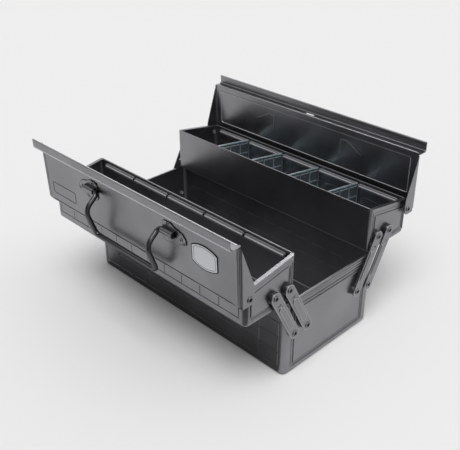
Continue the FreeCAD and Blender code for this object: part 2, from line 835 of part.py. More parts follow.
def lid(name, side, lean, half, ridge_length, ridge_height):
    """A roof half: panel, end gussets round the pivot, skirt, and the stepped ridge along its top.

    Its own frame has the pivot at the origin, the panel upright and outwards on the side it covers.
    """
    body = new_body(name)
    wall, face, over = dim.sheet, dim.lid_panel_offset, dim.overrun
    top, bottom = dim.lid_panel_top, -dim.lid_panel_drop
    heel = -dim.gusset_heel_reach
    gusset_top = face - dim.gusset_top_width
    length = half * 2
    bend, corner = dim.lid_bend_radius, dim.lid_corner_radius

    channel = new_sketch(body, f"{name}_channel", "XY_Plane", bottom)
    inside = half - wall
    outline(
        channel,
        [
            (-half, heel * side),
            (-half, face * side, corner),
            (half, face * side, corner),
            (half, heel * side),
            (inside, heel * side),
            (inside, (face - wall) * side, corner - wall),
            (-inside, (face - wall) * side, corner - wall),
            (-inside, heel * side),
        ],
    )
    pad(body, channel, top - bottom)
    trim = new_sketch(body, f"{name}_trim", "YZ_Plane")
    rectangle(trim, (heel - over) * side, (face + over) * side, bottom - over, top + over)
    outline(
        trim,
        [
            (face * side, bottom, bend),
            (face * side, top),
            (gusset_top * side, top),
            (gusset_top * side, dim.gusset_top_height),
            (heel * side, dim.gusset_heel_height, bend),
            (heel * side, bottom, dim.gusset_boss_radius),
        ],
    )
    pocket(body, trim, length + over * 2, symmetric=True)

    skirt = new_sketch(body, f"{name}_skirt", "YZ_Plane")
    reach = dim.lid_pivot_inset + dim.lid_skirt_gap + dim.lid_panel_drop * sine(lean)
    skirt_edge = reach / cosine(lean)
    outline(
        skirt,
        [
            (face * side, bottom + bend + wall),
            (face * side, bottom, bend),
            (skirt_edge * side, bottom),
            (skirt_edge * side, bottom + wall),
            ((face - wall) * side, bottom + wall, bend - wall),
            ((face - wall) * side, bottom + bend + wall),
        ],
    )
    pad(body, skirt, (half - corner) * 2, symmetric=True)

    step_end = face + dim.ridge_step
    ridge = new_sketch(body, f"{name}_ridge", "YZ_Plane")
    outline(
        ridge,
        [
            ((face - wall) * side, top - wall),
            (step_end * side, top - wall, dim.ridge_bend_radius),
            (step_end * side, top - wall + ridge_height),
            ((step_end - wall) * side, top - wall + ridge_height),
            ((step_end - wall) * side, top, dim.ridge_bend_radius - wall),
            ((face - wall) * side, top),
        ],
    )
    pad(body, ridge, ridge_length, symmetric=True)
    step = new_sketch(body, f"{name}_step", "YZ_Plane")
    near, far = (face - wall) * side, (step_end - dim.ridge_bend_radius) * side
    rectangle(step, near, far, top - wall, top)
    pad(body, step, length, symmetric=True)

    slot = new_sketch(body, f"{name}_padlock_slot", "XY_Plane", top - over)
    half_slot = dim.padlock_slot_length / 2
    far = step_end - dim.padlock_slot_inset
    near = far - dim.padlock_slot_width
    rectangle(slot, -half_slot, half_slot, near * side, far * side)
    pocket(body, slot, over * 2)

    for label, height, margin in (
        ("low", -dim.lid_bead_drop, dim.lid_bead_margin),
        ("top", dim.top_bead_height, dim.top_bead_margin),
    ):
        panel_bead(body, f"{name}_{label}_bead", side, height, half - margin)
    if side == FRONT:
        panel_frame(body, name, side)
    bracket_seats(body, name, side)

    bore_ends(body, f"{name}_pivot_holes", [(as_size(0), as_size(0))], rivet_bore)
    stand_on_pivot(body, side, lean)


def stand_on_pivot(body, side, lean):
    """Hang a piece of a lid on the lid's pivot, at the lid's lean."""
    across = (tray_place + lid_pivot_place) * side
    place(body, across, tray_floor + dim.lid_pivot_height, lean=lean * (-side))


def panel_bead(body, name, side, height, end):
    """A line pressed into a lid's panel: a groove outside, a bead inside."""
    face, depth, line = dim.lid_panel_offset, dim.groove_depth, dim.groove_width
    for kind, near, far, shape in (
        ("groove", face - depth, face + dim.groove_lead_in, pocket),
        ("back", face - dim.sheet - depth, face - depth, pad),
    ):
        sketch = new_sketch(body, f"{name}_{kind}", "XY_Plane", height - line / 2)
        rectangle(sketch, -end, end, near * side, far * side)
        shape(body, sketch, line)


def face_sketch(body, name, side, offset):
    """A sketch across a lid, so far out from its pivot; the upright plane faces the front."""
    return new_sketch(body, name, "XZ_Plane", offset * (-side))


def panel_frame(body, name, side):
    line, turn = dim.groove_width, dim.frame_corner_radius
    left, right = -dim.panel_frame_left, -dim.panel_frame_right
    low, high = dim.panel_frame_bottom, dim.panel_frame_top
    sketch = face_sketch(body, f"{name}_frame", side, dim.lid_panel_offset - dim.groove_depth)
    rectangle(sketch, left, right, low, high, turn)
    rectangle(sketch, left + line, right - line, low + line, high - line, turn - line)
    pocket(body, sketch, dim.groove_depth + dim.groove_lead_in, along=side == FRONT)


def bracket_corners(end, margin):
    """The outline of a handle bracket at one end, grown by a margin."""
    low, high = dim.bracket_inner_edge - margin, dim.bracket_outer_edge + margin
    bottom, top = dim.bracket_bottom - margin, dim.bracket_top + margin
    radius = dim.bracket_corner_radius
    return [
        ((low + (high - low) * along) * end, bottom + (top - bottom) * up, radius)
        for along, up in BRACKET_SHARES
    ]


def bracket_rivet_spots():
    return [
        (along * end, height)
        for along, height in (
            (dim.bracket_inner_rivet_place, dim.bracket_inner_rivet_height),
            (dim.bracket_outer_rivet_place, dim.bracket_outer_rivet_height),
        )
        for end in (RIGHT, LEFT)
    ]


def bracket_seats(body, name, side):
    """Pressed seats behind the handle brackets, and the holes for the brackets' rivets."""
    inner = dim.lid_panel_offset - dim.sheet
    proud = dim.bracket_seat_proud
    seats = face_sketch(body, f"{name}_bracket_seats", side, inner - proud)
    for end in (RIGHT, LEFT):
        outline(seats, bracket_corners(end, dim.bracket_seat_margin))
    pad(body, seats, proud, along=side == FRONT)
    holes = face_sketch(body, f"{name}_bracket_holes", side, inner - proud - dim.overrun)
    for across, height in bracket_rivet_spots():
        circle(holes, across, height, bracket_rivet_bore)
    pocket(body, holes, proud + dim.sheet + dim.overrun * 2, along=side == FRONT)


def arch(sketch, foot, middle, level, radius):
    """A tunnel outline: flat at the foot, round about (middle, level) at the far side."""
    way = 1 if middle.number > foot.number else -1
    centre = Vector(middle.number, level.number, 0)
    up, out = Vector(0, radius.number, 0), Vector(radius.number * way, 0, 0)
    low_foot = Vector(foot.number, centre.y - radius.number, 0)
    high_foot = Vector(foot.number, centre.y + radius.number, 0)
    lower = sketch.addGeometry(Part.LineSegment(low_foot, centre - up))
    bow, low_end, high_end = turning_arc(sketch, centre - up, centre + out, centre + up)
    upper = sketch.addGeometry(Part.LineSegment(centre + up, high_foot))
    back = sketch.addGeometry(Part.LineSegment(high_foot, low_foot))
    sketch.addConstraint(Sketcher.Constraint("Tangent", lower, 2, bow, low_end))
    sketch.addConstraint(Sketcher.Constraint("Tangent", upper, 1, bow, high_end))
    sketch.addConstraint(Sketcher.Constraint("Coincident", upper, 2, back, 1))
    sketch.addConstraint(Sketcher.Constraint("Coincident", back, 2, lower, 1))
    sketch.addConstraint(Sketcher.Constraint("Horizontal", lower))
    sketch.addConstraint(Sketcher.Constraint("Horizontal", upper))
    sketch.addConstraint(Sketcher.Constraint("Vertical", back))
    pin_point(sketch, bow, 3, middle, level)
    pin(sketch, "DistanceX", back, 1, foot)
    bind_radius(sketch, bow, radius)


def bracket(name, side, end, lean):
    """A stamped plate with a raised loop that the handle's end turns in."""
    body = new_body(name)
    face = dim.lid_panel_offset
    plate = face_sketch(body, f"{name}_plate", side, face)
    outline(plate, bracket_corners(end, as_size(0)))
    pad(body, plate, dim.bracket_sheet, along=side == FRONT)

    start = dim.bracket_loop_start * end
    channel = dim.handle_rod_radius + dim.handle_loop_play
    axis, height = handle_axis_offset, dim.handle_axis_height
    loop = new_sketch(body, f"{name}_loop", "YZ_Plane", start)
    arch(loop, face * side, axis * side, height, channel + dim.bracket_sheet)
    pad(body, loop, dim.bracket_loop_length, along=end == RIGHT)
    tunnel = new_sketch(body, f"{name}_tunnel", "YZ_Plane", start - dim.overrun * end)
    arch(tunnel, (face - dim.overrun) * side, axis * side, height, channel)
    pocket(body, tunnel, dim.bracket_loop_length + dim.overrun * 2, along=end == RIGHT)

    holes = face_sketch(body, f"{name}_holes", side, face - dim.overrun)
    for across, level in bracket_rivet_spots():
        if across.number * end > 0:
            circle(holes, across, level, bracket_rivet_bore)
    pocket(body, holes, dim.bracket_sheet + dim.overrun * 2, along=side == FRONT)
    stand_on_pivot(body, side, lean)


def bracket_rivets(name, side, lean):
    """Small rivets through both brackets of a lid."""
    body = new_body(name)
    inside = dim.lid_panel_offset - dim.sheet - dim.bracket_seat_proud
    outside = dim.lid_panel_offset + dim.bracket_sheet
    head_top = outside + dim.bracket_rivet_head_height
    for kind, radius, start in (
        ("shanks", dim.bracket_rivet_radius, inside),
        ("heads", dim.bracket_rivet_head_radius, outside),
    ):
        sketch = face_sketch(body, f"{name}_{kind}", side, start)
        for across, level in bracket_rivet_spots():
            circle(sketch, across, level, radius)
        pad(body, sketch, head_top - start, along=side == FRONT)
    stand_on_pivot(body, side, lean)


def name_plate(name, side, lean):
    """A plate with bowed top and bottom edges, left blank."""
    body = new_body(name)
    left = dim.plate_middle - dim.plate_width / 2
    right = dim.plate_middle + dim.plate_width / 2
    bulge = dim.plate_bulge
    bow = (dim.plate_width * dim.plate_width / 4 + bulge * bulge) / (bulge * 2)
    sketch = face_sketch(body, f"{name}_outline", side, dim.lid_panel_offset)
    corners = [
        Vector(across.number, level.number, 0)
        for across, level in (
            (left, dim.plate_bottom),
            (right, dim.plate_bottom),
            (right, dim.plate_top),
            (left, dim.plate_top),
        )
    ]
    middle = dim.plate_middle.number
    lowest = Vector(middle, corners[0].y - bulge.number, 0)
    highest = Vector(middle, corners[2].y + bulge.number, 0)
    lower, _, _ = turning_arc(sketch, corners[0], lowest, corners[1])
    right_side = sketch.addGeometry(Part.LineSegment(corners[1], corners[2]))
    upper, _, _ = turning_arc(sketch, corners[2], highest, corners[3])
    left_side = sketch.addGeometry(Part.LineSegment(corners[3], corners[0]))
    for line, line_end, arc, arc_end in (
        (left_side, 2, lower, 1),
        (right_side, 1, lower, 2),
        (right_side, 2, upper, 1),
        (left_side, 1, upper, 2),
    ):
        sketch.addConstraint(Sketcher.Constraint("Coincident", line, line_end, arc, arc_end))
    pin_point(sketch, right_side, 1, right, dim.plate_bottom)
    pin_point(sketch, right_side, 2, right, dim.plate_top)
    pin_point(sketch, left_side, 1, left, dim.plate_top)
    pin_point(sketch, left_side, 2, left, dim.plate_bottom)
    bind_radius(sketch, lower, bow)
    bind_radius(sketch, upper, bow)
    pad(body, sketch, dim.plate_thickness, along=side == FRONT)
    stand_on_pivot(body, side, lean)


def rounded_path(corners):
    """A wire of straight runs joined by tangent arcs, from (point, bend radius) pairs."""
    points = [point for point, _ in corners]
    edges = []
    start = points[0]
    for index in range(1, len(points) - 1):
        arrive, middle, leave = corner_arc(
            points[index - 1], points[index], points[index + 1], corners[index][1]
        )
        edges.append(Part.LineSegment(start, arrive).toShape())
        edges.append(Part.Arc(arrive, middle, leave).toShape())
        start = leave
    edges.append(Part.LineSegment(start, points[-1]).toShape())
    return Part.Wire(edges)


def handle(name, side, lean):
    """A round rod bent into a bail whose arms bow outwards round the ridge."""
    half_width, end = dim.handle_half_width.number, dim.handle_end_place.number
    bow, bow_drop = dim.handle_bow_reach.number, dim.handle_bow_drop.number
    grip, grip_drop = dim.handle_grip_reach.number, dim.handle_grip_drop.number
    bends = (
        dim.handle_loop_bend.number,
        dim.handle_bow_bend.number,
        dim.handle_grip_bend.number,
    )
    arm = ((0, 0), (bow, -bow_drop), (grip, -grip_drop))
    left = [
        (Vector(-half_width, reach * side, rise), bend) for (reach, rise), bend in zip(arm, bends)
    ]
    right = [(Vector(half_width, point.y, point.z), bend) for point, bend in reversed(left)]
    ends = [(Vector(-end, 0, 0), 0)], [(Vector(end, 0, 0), 0)]
    path = rounded_path(ends[0] + left + right + ends[1])
    radius = dim.handle_rod_radius.number
    section = Part.Wire(Part.Circle(Vector(-end, 0, 0), Vector(1, 0, 0), radius).toShape())
    rod = path.makePipeShell([section], True, False)

    feature = doc.addObject("Part::Feature", name)
    feature.Label = name
    feature.Shape = rod
    across = (tray_place + lid_pivot_place).number * side
    pivot = Vector(0, across, (tray_floor + dim.lid_pivot_height).number)
    turn = FreeCAD.Rotation(Vector(1, 0, 0), -side * lean.number)
    axis = Vector(0, handle_axis_offset.number * side, dim.handle_axis_height.number)
    feature.Placement = FreeCAD.Placement(pivot + turn.multVec(axis), turn)
    nodes.append(feature)


# The assembly

base_tub()
base_spots = [
    ((dim.centre_half_gap + pivot + link_reach) * side, link_base_height)
    for pivot in link_pivots
    for side in (FRONT, REAR)
]
floor_line = as_size(0)
link_collar = (dim.collar_radius, dim.collar_length)
rivet_face = link_outer_face + dim.side_play
collars("base_link_collars", base_spots, *link_collar, floor_line, floor_line)
rivets("base_link_rivets", base_spots, rivet_face, floor_line, floor_line)

first_divider = -(dim.divider_pitch * (DIVIDERS - 1) / 2)
for number in range(DIVIDERS):
    divider(f"rear_tray_divider_{number + 1}", REAR, first_divider + dim.divider_pitch * number)

for word, side, lean, end_gap, ridge_length, ridge_height in (
    (
        "front",
        FRONT,
        dim.front_lid_lean,
        dim.front_lid_end_gap,
        dim.front_ridge_length,
        dim.front_ridge_height,
    ),
    (
        "rear",
        REAR,
        dim.rear_lid_lean,
        dim.rear_lid_end_gap,
        dim.rear_ridge_length,
        dim.rear_ridge_height,
    ),
):
    tray(f"{word}_tray", side)
    y, z = tray_place * side, tray_floor
    spots = [(pivot * side, dim.link_pivot_height) for pivot in link_pivots]
    collars(f"{word}_tray_link_collars", spots, *link_collar, y, z)
    rivets(f"{word}_tray_link_rivets", spots, rivet_face, y, z)
    spots = [(lid_pivot_place * side, dim.lid_pivot_height)]
    lid_half_length = half_length + end_gap + dim.sheet
    rivets(f"{word}_lid_pivot_rivets", spots, lid_half_length + dim.side_play, y, z)
    if side == REAR:
        gap = end_gap - dim.side_play
        collars(f"{word}_lid_pivot_collars", spots, dim.lid_collar_radius, gap, y, z)
    for hand, end in (("right", RIGHT), ("left", LEFT)):
        link(f"{word}_outer_link_{hand}", side, end, dim.link_pivot_outer)
        link(f"{word}_inner_link_{hand}", side, end, dim.link_pivot_inner)
        bracket(f"{word}_handle_bracket_{hand}", side, end, lean)
    lid(f"{word}_lid", side, lean, lid_half_length, ridge_length, ridge_height)
    bracket_rivets(f"{word}_bracket_rivets", side, lean)
    handle(f"{word}_handle", side, lean)
name_plate("front_name_plate", FRONT, dim.front_lid_lean)

doc.recompute()
for item in doc.Objects:
    if "Invalid" in item.State or "Error" in item.State:
        raise RuntimeError(f"{item.Name} failed: {item.State}")

os.makedirs("parts", exist_ok=True)
for node in nodes:
    if node.Shape.isNull() or not node.Shape.isValid() or not node.Shape.Solids:
        raise RuntimeError(f"{node.Label} has no sound solid")
    node.Shape.exportStep(f"parts/{node.Label}.step")
    print(node.Label, len(node.Shape.Solids), round(node.Shape.Volume, 1))
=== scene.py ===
import math

import bmesh
import bpy
from bpy.props import FloatProperty, FloatVectorProperty, PointerProperty
from bpy.types import Operator, Panel, PropertyGroup
from mathutils import Matrix, Vector


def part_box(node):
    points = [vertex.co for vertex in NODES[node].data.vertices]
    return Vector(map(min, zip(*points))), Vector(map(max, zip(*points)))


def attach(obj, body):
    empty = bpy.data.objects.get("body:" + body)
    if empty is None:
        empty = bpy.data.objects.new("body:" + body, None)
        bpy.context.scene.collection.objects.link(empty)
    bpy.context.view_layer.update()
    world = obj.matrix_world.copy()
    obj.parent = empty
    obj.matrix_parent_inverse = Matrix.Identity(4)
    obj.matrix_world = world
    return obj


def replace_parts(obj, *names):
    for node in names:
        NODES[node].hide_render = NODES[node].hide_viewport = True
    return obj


bl_info = {
    "name": "Cantilever tool box",
    "version": (1, 0, 0),
    "blender": (4, 5, 0),
    "location": "3D View > Sidebar > Tool Box",
    "description": "Finishes and photographs a two-tray cantilever tool box",
    "category": "Object",
}

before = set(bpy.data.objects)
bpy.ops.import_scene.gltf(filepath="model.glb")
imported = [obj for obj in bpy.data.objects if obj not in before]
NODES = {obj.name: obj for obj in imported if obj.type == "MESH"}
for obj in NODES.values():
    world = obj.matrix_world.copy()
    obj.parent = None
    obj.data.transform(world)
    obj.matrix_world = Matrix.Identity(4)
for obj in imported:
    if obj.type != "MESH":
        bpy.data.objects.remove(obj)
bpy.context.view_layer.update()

MM = 0.001
TINY = 1e-5
DOUBLES = 1e-6
FLAT = 0.99
QUARTER_TURN = math.pi / 2

# Places and sizes from here on are in millimetres

SIDE = {"front": -1, "rear": 1}
END = {"left": -1, "right": 1}
WALL = 1.0

# The brick pattern of the long walls
BRICK = 29.2
BRICKS = 11
BRICK_GAP = 1.2
COLUMNS = [BRICK * (column - BRICKS / 2) for column in range(BRICKS + 1)]

# The base: drops are measured down from its rim
BASE_CORNER = 7.8
RIM_ROLL_DROP = 0.9
# The rim beads are painted lighter than the coat, as painted highlights
# Drop of each bead, and how far it stands out
RIM_BEADS = ((5.2, 0), (8.8, -0.1))
# Near-black lines under the rim beads, as painted shade in the creases
RIM_SHADE_DROPS = (2.6, 6.2, 9.8)
RIM_SHADE_SINK = 0.2
# Half width, foot and top of the two lines round an end wall
END_FRAMES = ((66.4, 6.6, 89.2), (62.2, 10.9, 84.8))
END_FRAME_SINK = 0.7
END_FRAME_CORNER = 3
BASE_BRICK_HEIGHT = 20.6
BASE_BRICK_ROWS = [10.6 + BASE_BRICK_HEIGHT * row for row in range(4)]
OUTER_LINE_SINK = 0.75
INNER_LINE_SINK = 0.55 + WALL
INNER_LINE_GAP = 4.5

# The trays: their brim falls from the inner wall to the outer one
TRAY_FALL = 12.6
BRIM_INSET = 1.0
BRIM_ROLL_INSET = 3.5
BRIM_ROLL_DROP = 0.55
# Inset from the long walls, foot, and drop below the brim of the two lines round an end
TRAY_FRAMES = ((4.4, 107.9, 5.8), (8.8, 112.3, 10.2))
TRAY_FRAME_CORNER = 2
TRAY_BRICK_HEIGHT = 13.8
TRAY_BRICK_ROWS = (112.3, 126.1)
TRAY_LINE_SINK = 0.05
LEDGE_MARGIN = 11.5
LEDGE_DROP = 6.4
LEDGE_OFFSET = 1.9
LEDGE_WIDTH = 4.0
LEDGE_HEIGHT = 4.8
LEDGE_NOSE_DROP = 2.4
LEDGE_NOSE_BEVEL = 0.2
LEDGE_END_INSET = 0.3
LEDGE_END_DEPTH = 0.2

# The dividers, which slide down between lengths of ledge
DIVIDER_SPOTS = (-97.5, -32.5, 32.5, 97.5)
DIVIDER_ROOM = 4
DIVIDER_SHEET = 1.0
DIVIDER_TRIM = 1.0
DIVIDER_FALL = 10.6
DIVIDER_CORNER = 4.0
DIVIDER_BORDER = 1.6
DIVIDER_FIELD_SINK = 0.1
HEM_DROP = 1.2
HEM_INSET = 2.4
RIB_UPRIGHTS = (82.0, 101.5, 121.0)
RIB_COLUMNS = (72.5, *RIB_UPRIGHTS, 138.6)
RIB_DROPS = (5.2, 19.6, 34.0)
RIB_TOP_DROP = 5.4
RIB_FOOT = 6.2
RIB_BREAK = 2.2
ROUND_EDGE_INSET = 0.75
ROUND_EDGE_FOOT = 1.2
ROUND_EDGE_DROP = 2.4

# The lids: out is measured from the pivot to the panel's face, up along the panel
LID_PIVOT = (137.265, 138.1)
LID_LEAN = {"front": 2.0, "rear": -1.0}
PANEL_FACE = 13.15
# Half length of the panel, half length and top of the ridge, finishes of its crest and step; the
# lighter finishes on crest and step are painted highlights
LIDS = {
    "front": (171.0, 170.0, 78.5, "satin_enamel", "painted_glare_enamel"),
    "rear": (174.7, 175.6, 80.7, "painted_highlight_enamel", "painted_highlight_enamel"),
}
# Name, finish, place below the face, inset from the ends, top and foot of each line; both finishes
# are lighter than the coat, as painted highlights
PANEL_LINES = (
    ("outer", "painted_highlight_enamel", 0, 3.4, 67.0, -4.4),
    ("inner", "painted_glare_enamel", WALL, 11.0, 61.8, 14.0),
)
PANEL_LINE_CORNER = 3
RIDGE_OUT = 23.6
RIDGE_ROLL_DROP = 0.4
STEP_PLACES = ((22.2, 70.4), (23.8, 68.9))
SHOULDER_PLACE = (13.4, 69.4)
SHOULDER_INSET = 2
CORNER_BEND_INSET = 0.85
CORNER_BEND_SPAN = (-3.5, 66.5)
SEAT_LINE = ((58.5, 33), (58.5, 53), (67, 54), (76, 50), (84, 45), (92, 41))

# The links, as places across the box and up
BASE_LINKS = ((46.13, 60.01), (68.13, 60.01))
TRAY_LINKS = ((79.465, 122.7), (101.465, 122.7))
LINK_FACE = 175.3
# Place beyond the face, share of the link where the line starts and ends, and its radius
LINK_LINES = ((-0.35, 0, 1, 6.7), (0.35, 0.225, 0.704, 3.7))

# Rivets and bushings, which lie along the box
RIVET_FACE = 175.4
LID_RIVET_FACE = {"front": 171.9, "rear": 175.6}
PIVOT_RIVET = {"head": 3.8, "height": 0.8, "bore": 2.3, "shank": 2.0, "length": 8.0}
BRACKET_RIVET = {"head": 2.2, "height": 0.7, "bore": 1.0, "shank": 1.4, "length": 2.8}
DOME_SHARE = 0.6
BORE_DEPTH_SHARE = 0.8
CLINCH_FLARE = 1.35
CLINCH_WALL_SHARE = 0.3
CLINCH_DEPTH_SHARE = 0.5
BUSHING_FACE = 170.0
BUSHING_RADIUS = 7.1
BUSHING_WIDTH = 3.6
BUSHING_BEVEL = 0.4
GROOVE_WIDTH = 0.6
GROOVE_SHARE = 0.88

# Corners and rivets of a handle bracket, along the box from its middle and up the lid
BRACKET_CORNERS = (
    (58.5, 53.6), (70.38, 54.6), (78.3, 50.6), (89.46, 48.1), (94.5, 42.6), (94.5, 36.1),
    (85.86, 35.1), (77.22, 29.6), (70.02, 31.35), (62.82, 29.6), (58.5, 33.6),
)
BRACKET_CORNER = 2.4
BRACKET_RIVETS = ((66, 51.6), (87.5, 41.1))
BRACKET_SHEET = 1.0
CUT_EDGE_MARGIN = 0.05
# How far the near-black bead of painted shade and the lighter bead of painted highlight stand from
# a bracket
SHADE_LINE_PROUD = 0.6
EDGE_PROUD = 0.95

# Share of the name plate's outline, and place behind its face
PLATE_BORDER = (0.86, 0.12)
# The line round the plate is a near-black bead of painted shade
PLATE_SHADE_LINE = (1.015, 0.45)

# The stage, in metres. A lamp has its strength, direction and width, and whether the floor sees it
FLOOR_SPAN = 12
LAMPS = (
    ("top_lamp", 1.66, (0.25, -0.35, 1.0), 35, True),
    ("right_lamp", 0.35, (0.7, 0.2, 1.2), 45, True),
    ("rim_lamp", 0.35, (-0.45, 0.46, 0.80), 8, False),
)
LAMP_REACH = 2
# Grey boards on the floor that only the enamel mirrors, so that it reflects a darker floor; the
# one before the base stands in for the shade on the floor there
FLAGS = (
    ("camera_side_flag", 0.07,
     ((0.24, -0.20), (0.9, 0.44), (1.9, -0.6), (0.5, -1.9), (-0.4, -0.9))),
    ("front_side_flag", 0.19,
     ((-0.26, -0.20), (-0.14, -0.05), (0.16, -0.05), (0.16, -0.20))),
)
FLAG_HEIGHT = 0.0004
SOFT_LEVEL = 0.42
BACKDROP_LEVEL = 0.86
SHINE_RAMP = {"From Min": -0.65, "From Max": -0.25, "To Min": 0.06, "To Max": 0.86}


class FinishSettings(PropertyGroup):
    enamel_colour: FloatVectorProperty(
        name="Enamel", description="Colour of the stoved enamel", subtype="COLOR",
        default=(0.25, 0.248, 0.262), min=0, max=1,
    )
    zinc_colour: FloatVectorProperty(
        name="Zinc", description="Colour of the zinc-coated dividers", subtype="COLOR",
        default=(0.25, 0.305, 0.345), min=0, max=1,
    )
    rivet_colour: FloatVectorProperty(
        name="Rivets", description="Colour of the blackened rivets", subtype="COLOR",
        default=(0.1, 0.1, 0.104), min=0, max=1,
    )
    plate_colour: FloatVectorProperty(
        name="Plate", description="Colour of the blank name plate", subtype="COLOR",
        default=(0.6, 0.61, 0.64), min=0, max=1,
    )


class BeadSettings(PropertyGroup):
    rim_roll: FloatProperty(
        name="Rim roll", description="Radius of the rolled edge of the base and trays",
        unit="LENGTH", default=0.00105, min=0,
    )
    ridge_roll: FloatProperty(
        name="Ridge roll", description="Radius of the rolls along the ridge of a lid",
        unit="LENGTH", default=0.001, min=0,
    )
    corner_bend: FloatProperty(
        name="Corner bend", description="Radius of the bend between a lid's panel and its ends",
        unit="LENGTH", default=0.0011, min=0,
    )
    end_frame: FloatProperty(
        name="End frame", description="Radius of the two lines round the end walls",
        unit="LENGTH", default=0.00075, min=0,
    )
    pressed_bead: FloatProperty(
        name="Pressed bead", description="Radius of a bead pressed into sheet",
        unit="LENGTH", default=0.0006, min=0,
    )
    fine_bead: FloatProperty(
        name="Fine bead", description="Radius of the fine lines of the brick pattern",
        unit="LENGTH", default=0.0004, min=0,
    )
    link_roll: FloatProperty(
        name="Link roll", description="Radius of the rounded edges of a link",
        unit="LENGTH", default=0.00045, min=0,
    )
    divider_hem: FloatProperty(
        name="Divider hem", description="Radius of the folded top edge of a divider",
        unit="LENGTH", default=0.0012, min=0,
    )
    divider_rib: FloatProperty(
        name="Divider rib", description="Radius of the ribs pressed into a divider",
        unit="LENGTH", default=0.00095, min=0,
    )
    divider_edge: FloatProperty(
        name="Divider edge", description="Radius of the round edges that slide in the ledges",
        unit="LENGTH", default=0.00072, min=0,
    )
    # A near-black bead of painted shade round the bracket
    bracket_shade_line: FloatProperty(
        name="Bracket seam", description="Radius of the dark seam round a handle bracket",
        unit="LENGTH", default=0.00055, min=0,
    )
    # A lighter bead along the bracket's edge, as a painted highlight
    bracket_highlight: FloatProperty(
        name="Bracket edge", description="Radius of the rubbed edge of a handle bracket",
        unit="LENGTH", default=0.0003, min=0,
    )
    plate_border: FloatProperty(
        name="Plate border", description="Radius of the line pressed into the name plate",
        unit="LENGTH", default=0.0004, min=0,
    )
    # A near-black bead of painted shade round the plate
    plate_shade_line: FloatProperty(
        name="Plate seam", description="Radius of the dark seam round the name plate",
        unit="LENGTH", default=0.0007, min=0,
    )


class StageSettings(PropertyGroup):
    floor_colour: FloatVectorProperty(
        name="Floor", description="Colour of the floor", subtype="COLOR",
        default=(0.86, 0.86, 0.86), min=0, max=1,
    )
    camera_place: FloatVectorProperty(
        name="Camera", description="Where the camera stands", subtype="XYZ", unit="LENGTH",
        default=(0.58206, -0.57123, 0.56616),
    )
    camera_azimuth: FloatProperty(
        name="Azimuth", description="Turn of the camera about the vertical",
        subtype="ANGLE", default=0.791,
    )
    camera_pitch: FloatProperty(
        name="Pitch", description="How far the camera looks down", subtype="ANGLE", default=0.520,
    )
    lens: FloatProperty(
        name="Lens", description="Focal length for a 36 mm wide frame", unit="CAMERA",
        default=57.26, min=1,
    )


# Materials


def new_material(name, **values):
    material = bpy.data.materials.new(name)
    material.use_nodes = True
    shader = material.node_tree.nodes["Principled BSDF"]
    for socket, value in values.items():
        shader.inputs[socket.replace("_", " ")].default_value = value
    return material, shader


def add_node(tree, kind, inputs=None, **settings):
    node = tree.nodes.new(kind)
    for key, value in settings.items():
        setattr(node, key, value)
    for key, value in (inputs or {}).items():
        if hasattr(value, "is_output"):
            tree.links.new(value, node.inputs[key])
        else:
            node.inputs[key].default_value = value
    return node


def object_noise(tree, scale, detail, roughness=0.5, stretch=None):
    place = add_node(tree, "ShaderNodeTexCoord").outputs["Object"]
    if stretch:
        place = add_node(tree, "ShaderNodeMapping", {"Vector": place, "Scale": stretch}).outputs[0]
    noise = add_node(
        tree, "ShaderNodeTexNoise",
        {"Vector": place, "Scale": scale, "Detail": detail, "Roughness": roughness},
    )
    return noise.outputs["Fac"]


def spread(tree, value, low=0, high=1):
    """Stretch the middle of a noise to run from low to high."""
    node = add_node(
        tree, "ShaderNodeMapRange",
        {"Value": value, "From Min": 0.3, "From Max": 0.7, "To Min": low, "To Max": high},
    )
    return node.outputs["Result"]


def scaled(colour, amount):
    return tuple(min(1.0, part * amount) for part in colour)


def tint(tree, factor, colour, dark, light):
    """A colour that wanders between a darker and a lighter shade of itself."""
    node = add_node(tree, "ShaderNodeMix", data_type="RGBA")
    tree.links.new(factor, node.inputs[0])
    node.inputs[6].default_value = (*scaled(colour, dark), 1)
    node.inputs[7].default_value = (*scaled(colour, light), 1)
    return node.outputs[2]


def enamel(name, colour, roughness=0.32):
    """Gunmetal enamel: satin and full of metal flake, with a fine peel and faint clouds."""
    material, shader = new_material(name, Metallic=0.985)
    tree = material.node_tree
    cloud = spread(tree, object_noise(tree, scale=14, detail=4))
    tree.links.new(tint(tree, cloud, colour, dark=0.9, light=1.12), shader.inputs["Base Color"])
    wipe = object_noise(tree, scale=45, detail=5, roughness=0.6)
    tree.links.new(spread(tree, wipe, roughness - 0.03, roughness + 0.05),
                   shader.inputs["Roughness"])
    grain = object_noise(tree, scale=1500, detail=2)
    bump = add_node(tree, "ShaderNodeBump",
                    {"Height": grain, "Strength": 0.008, "Distance": 0.0002})
    tree.links.new(bump.outputs[0], shader.inputs["Normal"])
    return material


def zinc(name, colour, sheen=0.75, roughness=0.34):
    """Passivated zinc on thin sheet: bluish, with a faint spangle."""
    material, shader = new_material(name, Metallic=sheen, Specular_IOR_Level=0.5)
    tree = material.node_tree
    place = add_node(tree, "ShaderNodeTexCoord").outputs["Object"]
    cells = add_node(tree, "ShaderNodeTexVoronoi", {"Vector": place, "Scale": 260.0})
    split = add_node(tree, "ShaderNodeSeparateColor", {"Color": cells.outputs["Color"]})
    spangle = tint(tree, split.outputs[0], colour, dark=0.85, light=1.15)
    tree.links.new(spangle, shader.inputs["Base Color"])
    wipe = object_noise(tree, scale=60, detail=4)
    tree.links.new(spread(tree, wipe, roughness, roughness + 0.12), shader.inputs["Roughness"])
    return material


def plated(name, colour, roughness=0.35):
    """Blackened steel, as on rivets: dark, a little brighter where it has been rubbed."""
    material, shader = new_material(name, Metallic=0.6)
    tree = material.node_tree
    rub = object_noise(tree, scale=300, detail=4, roughness=0.6)
    tree.links.new(tint(tree, spread(tree, rub), colour, dark=0.8, light=1.4),
                   shader.inputs["Base Color"])
    tree.links.new(spread(tree, rub, roughness - 0.05, roughness + 0.1),
                   shader.inputs["Roughness"])
    return material


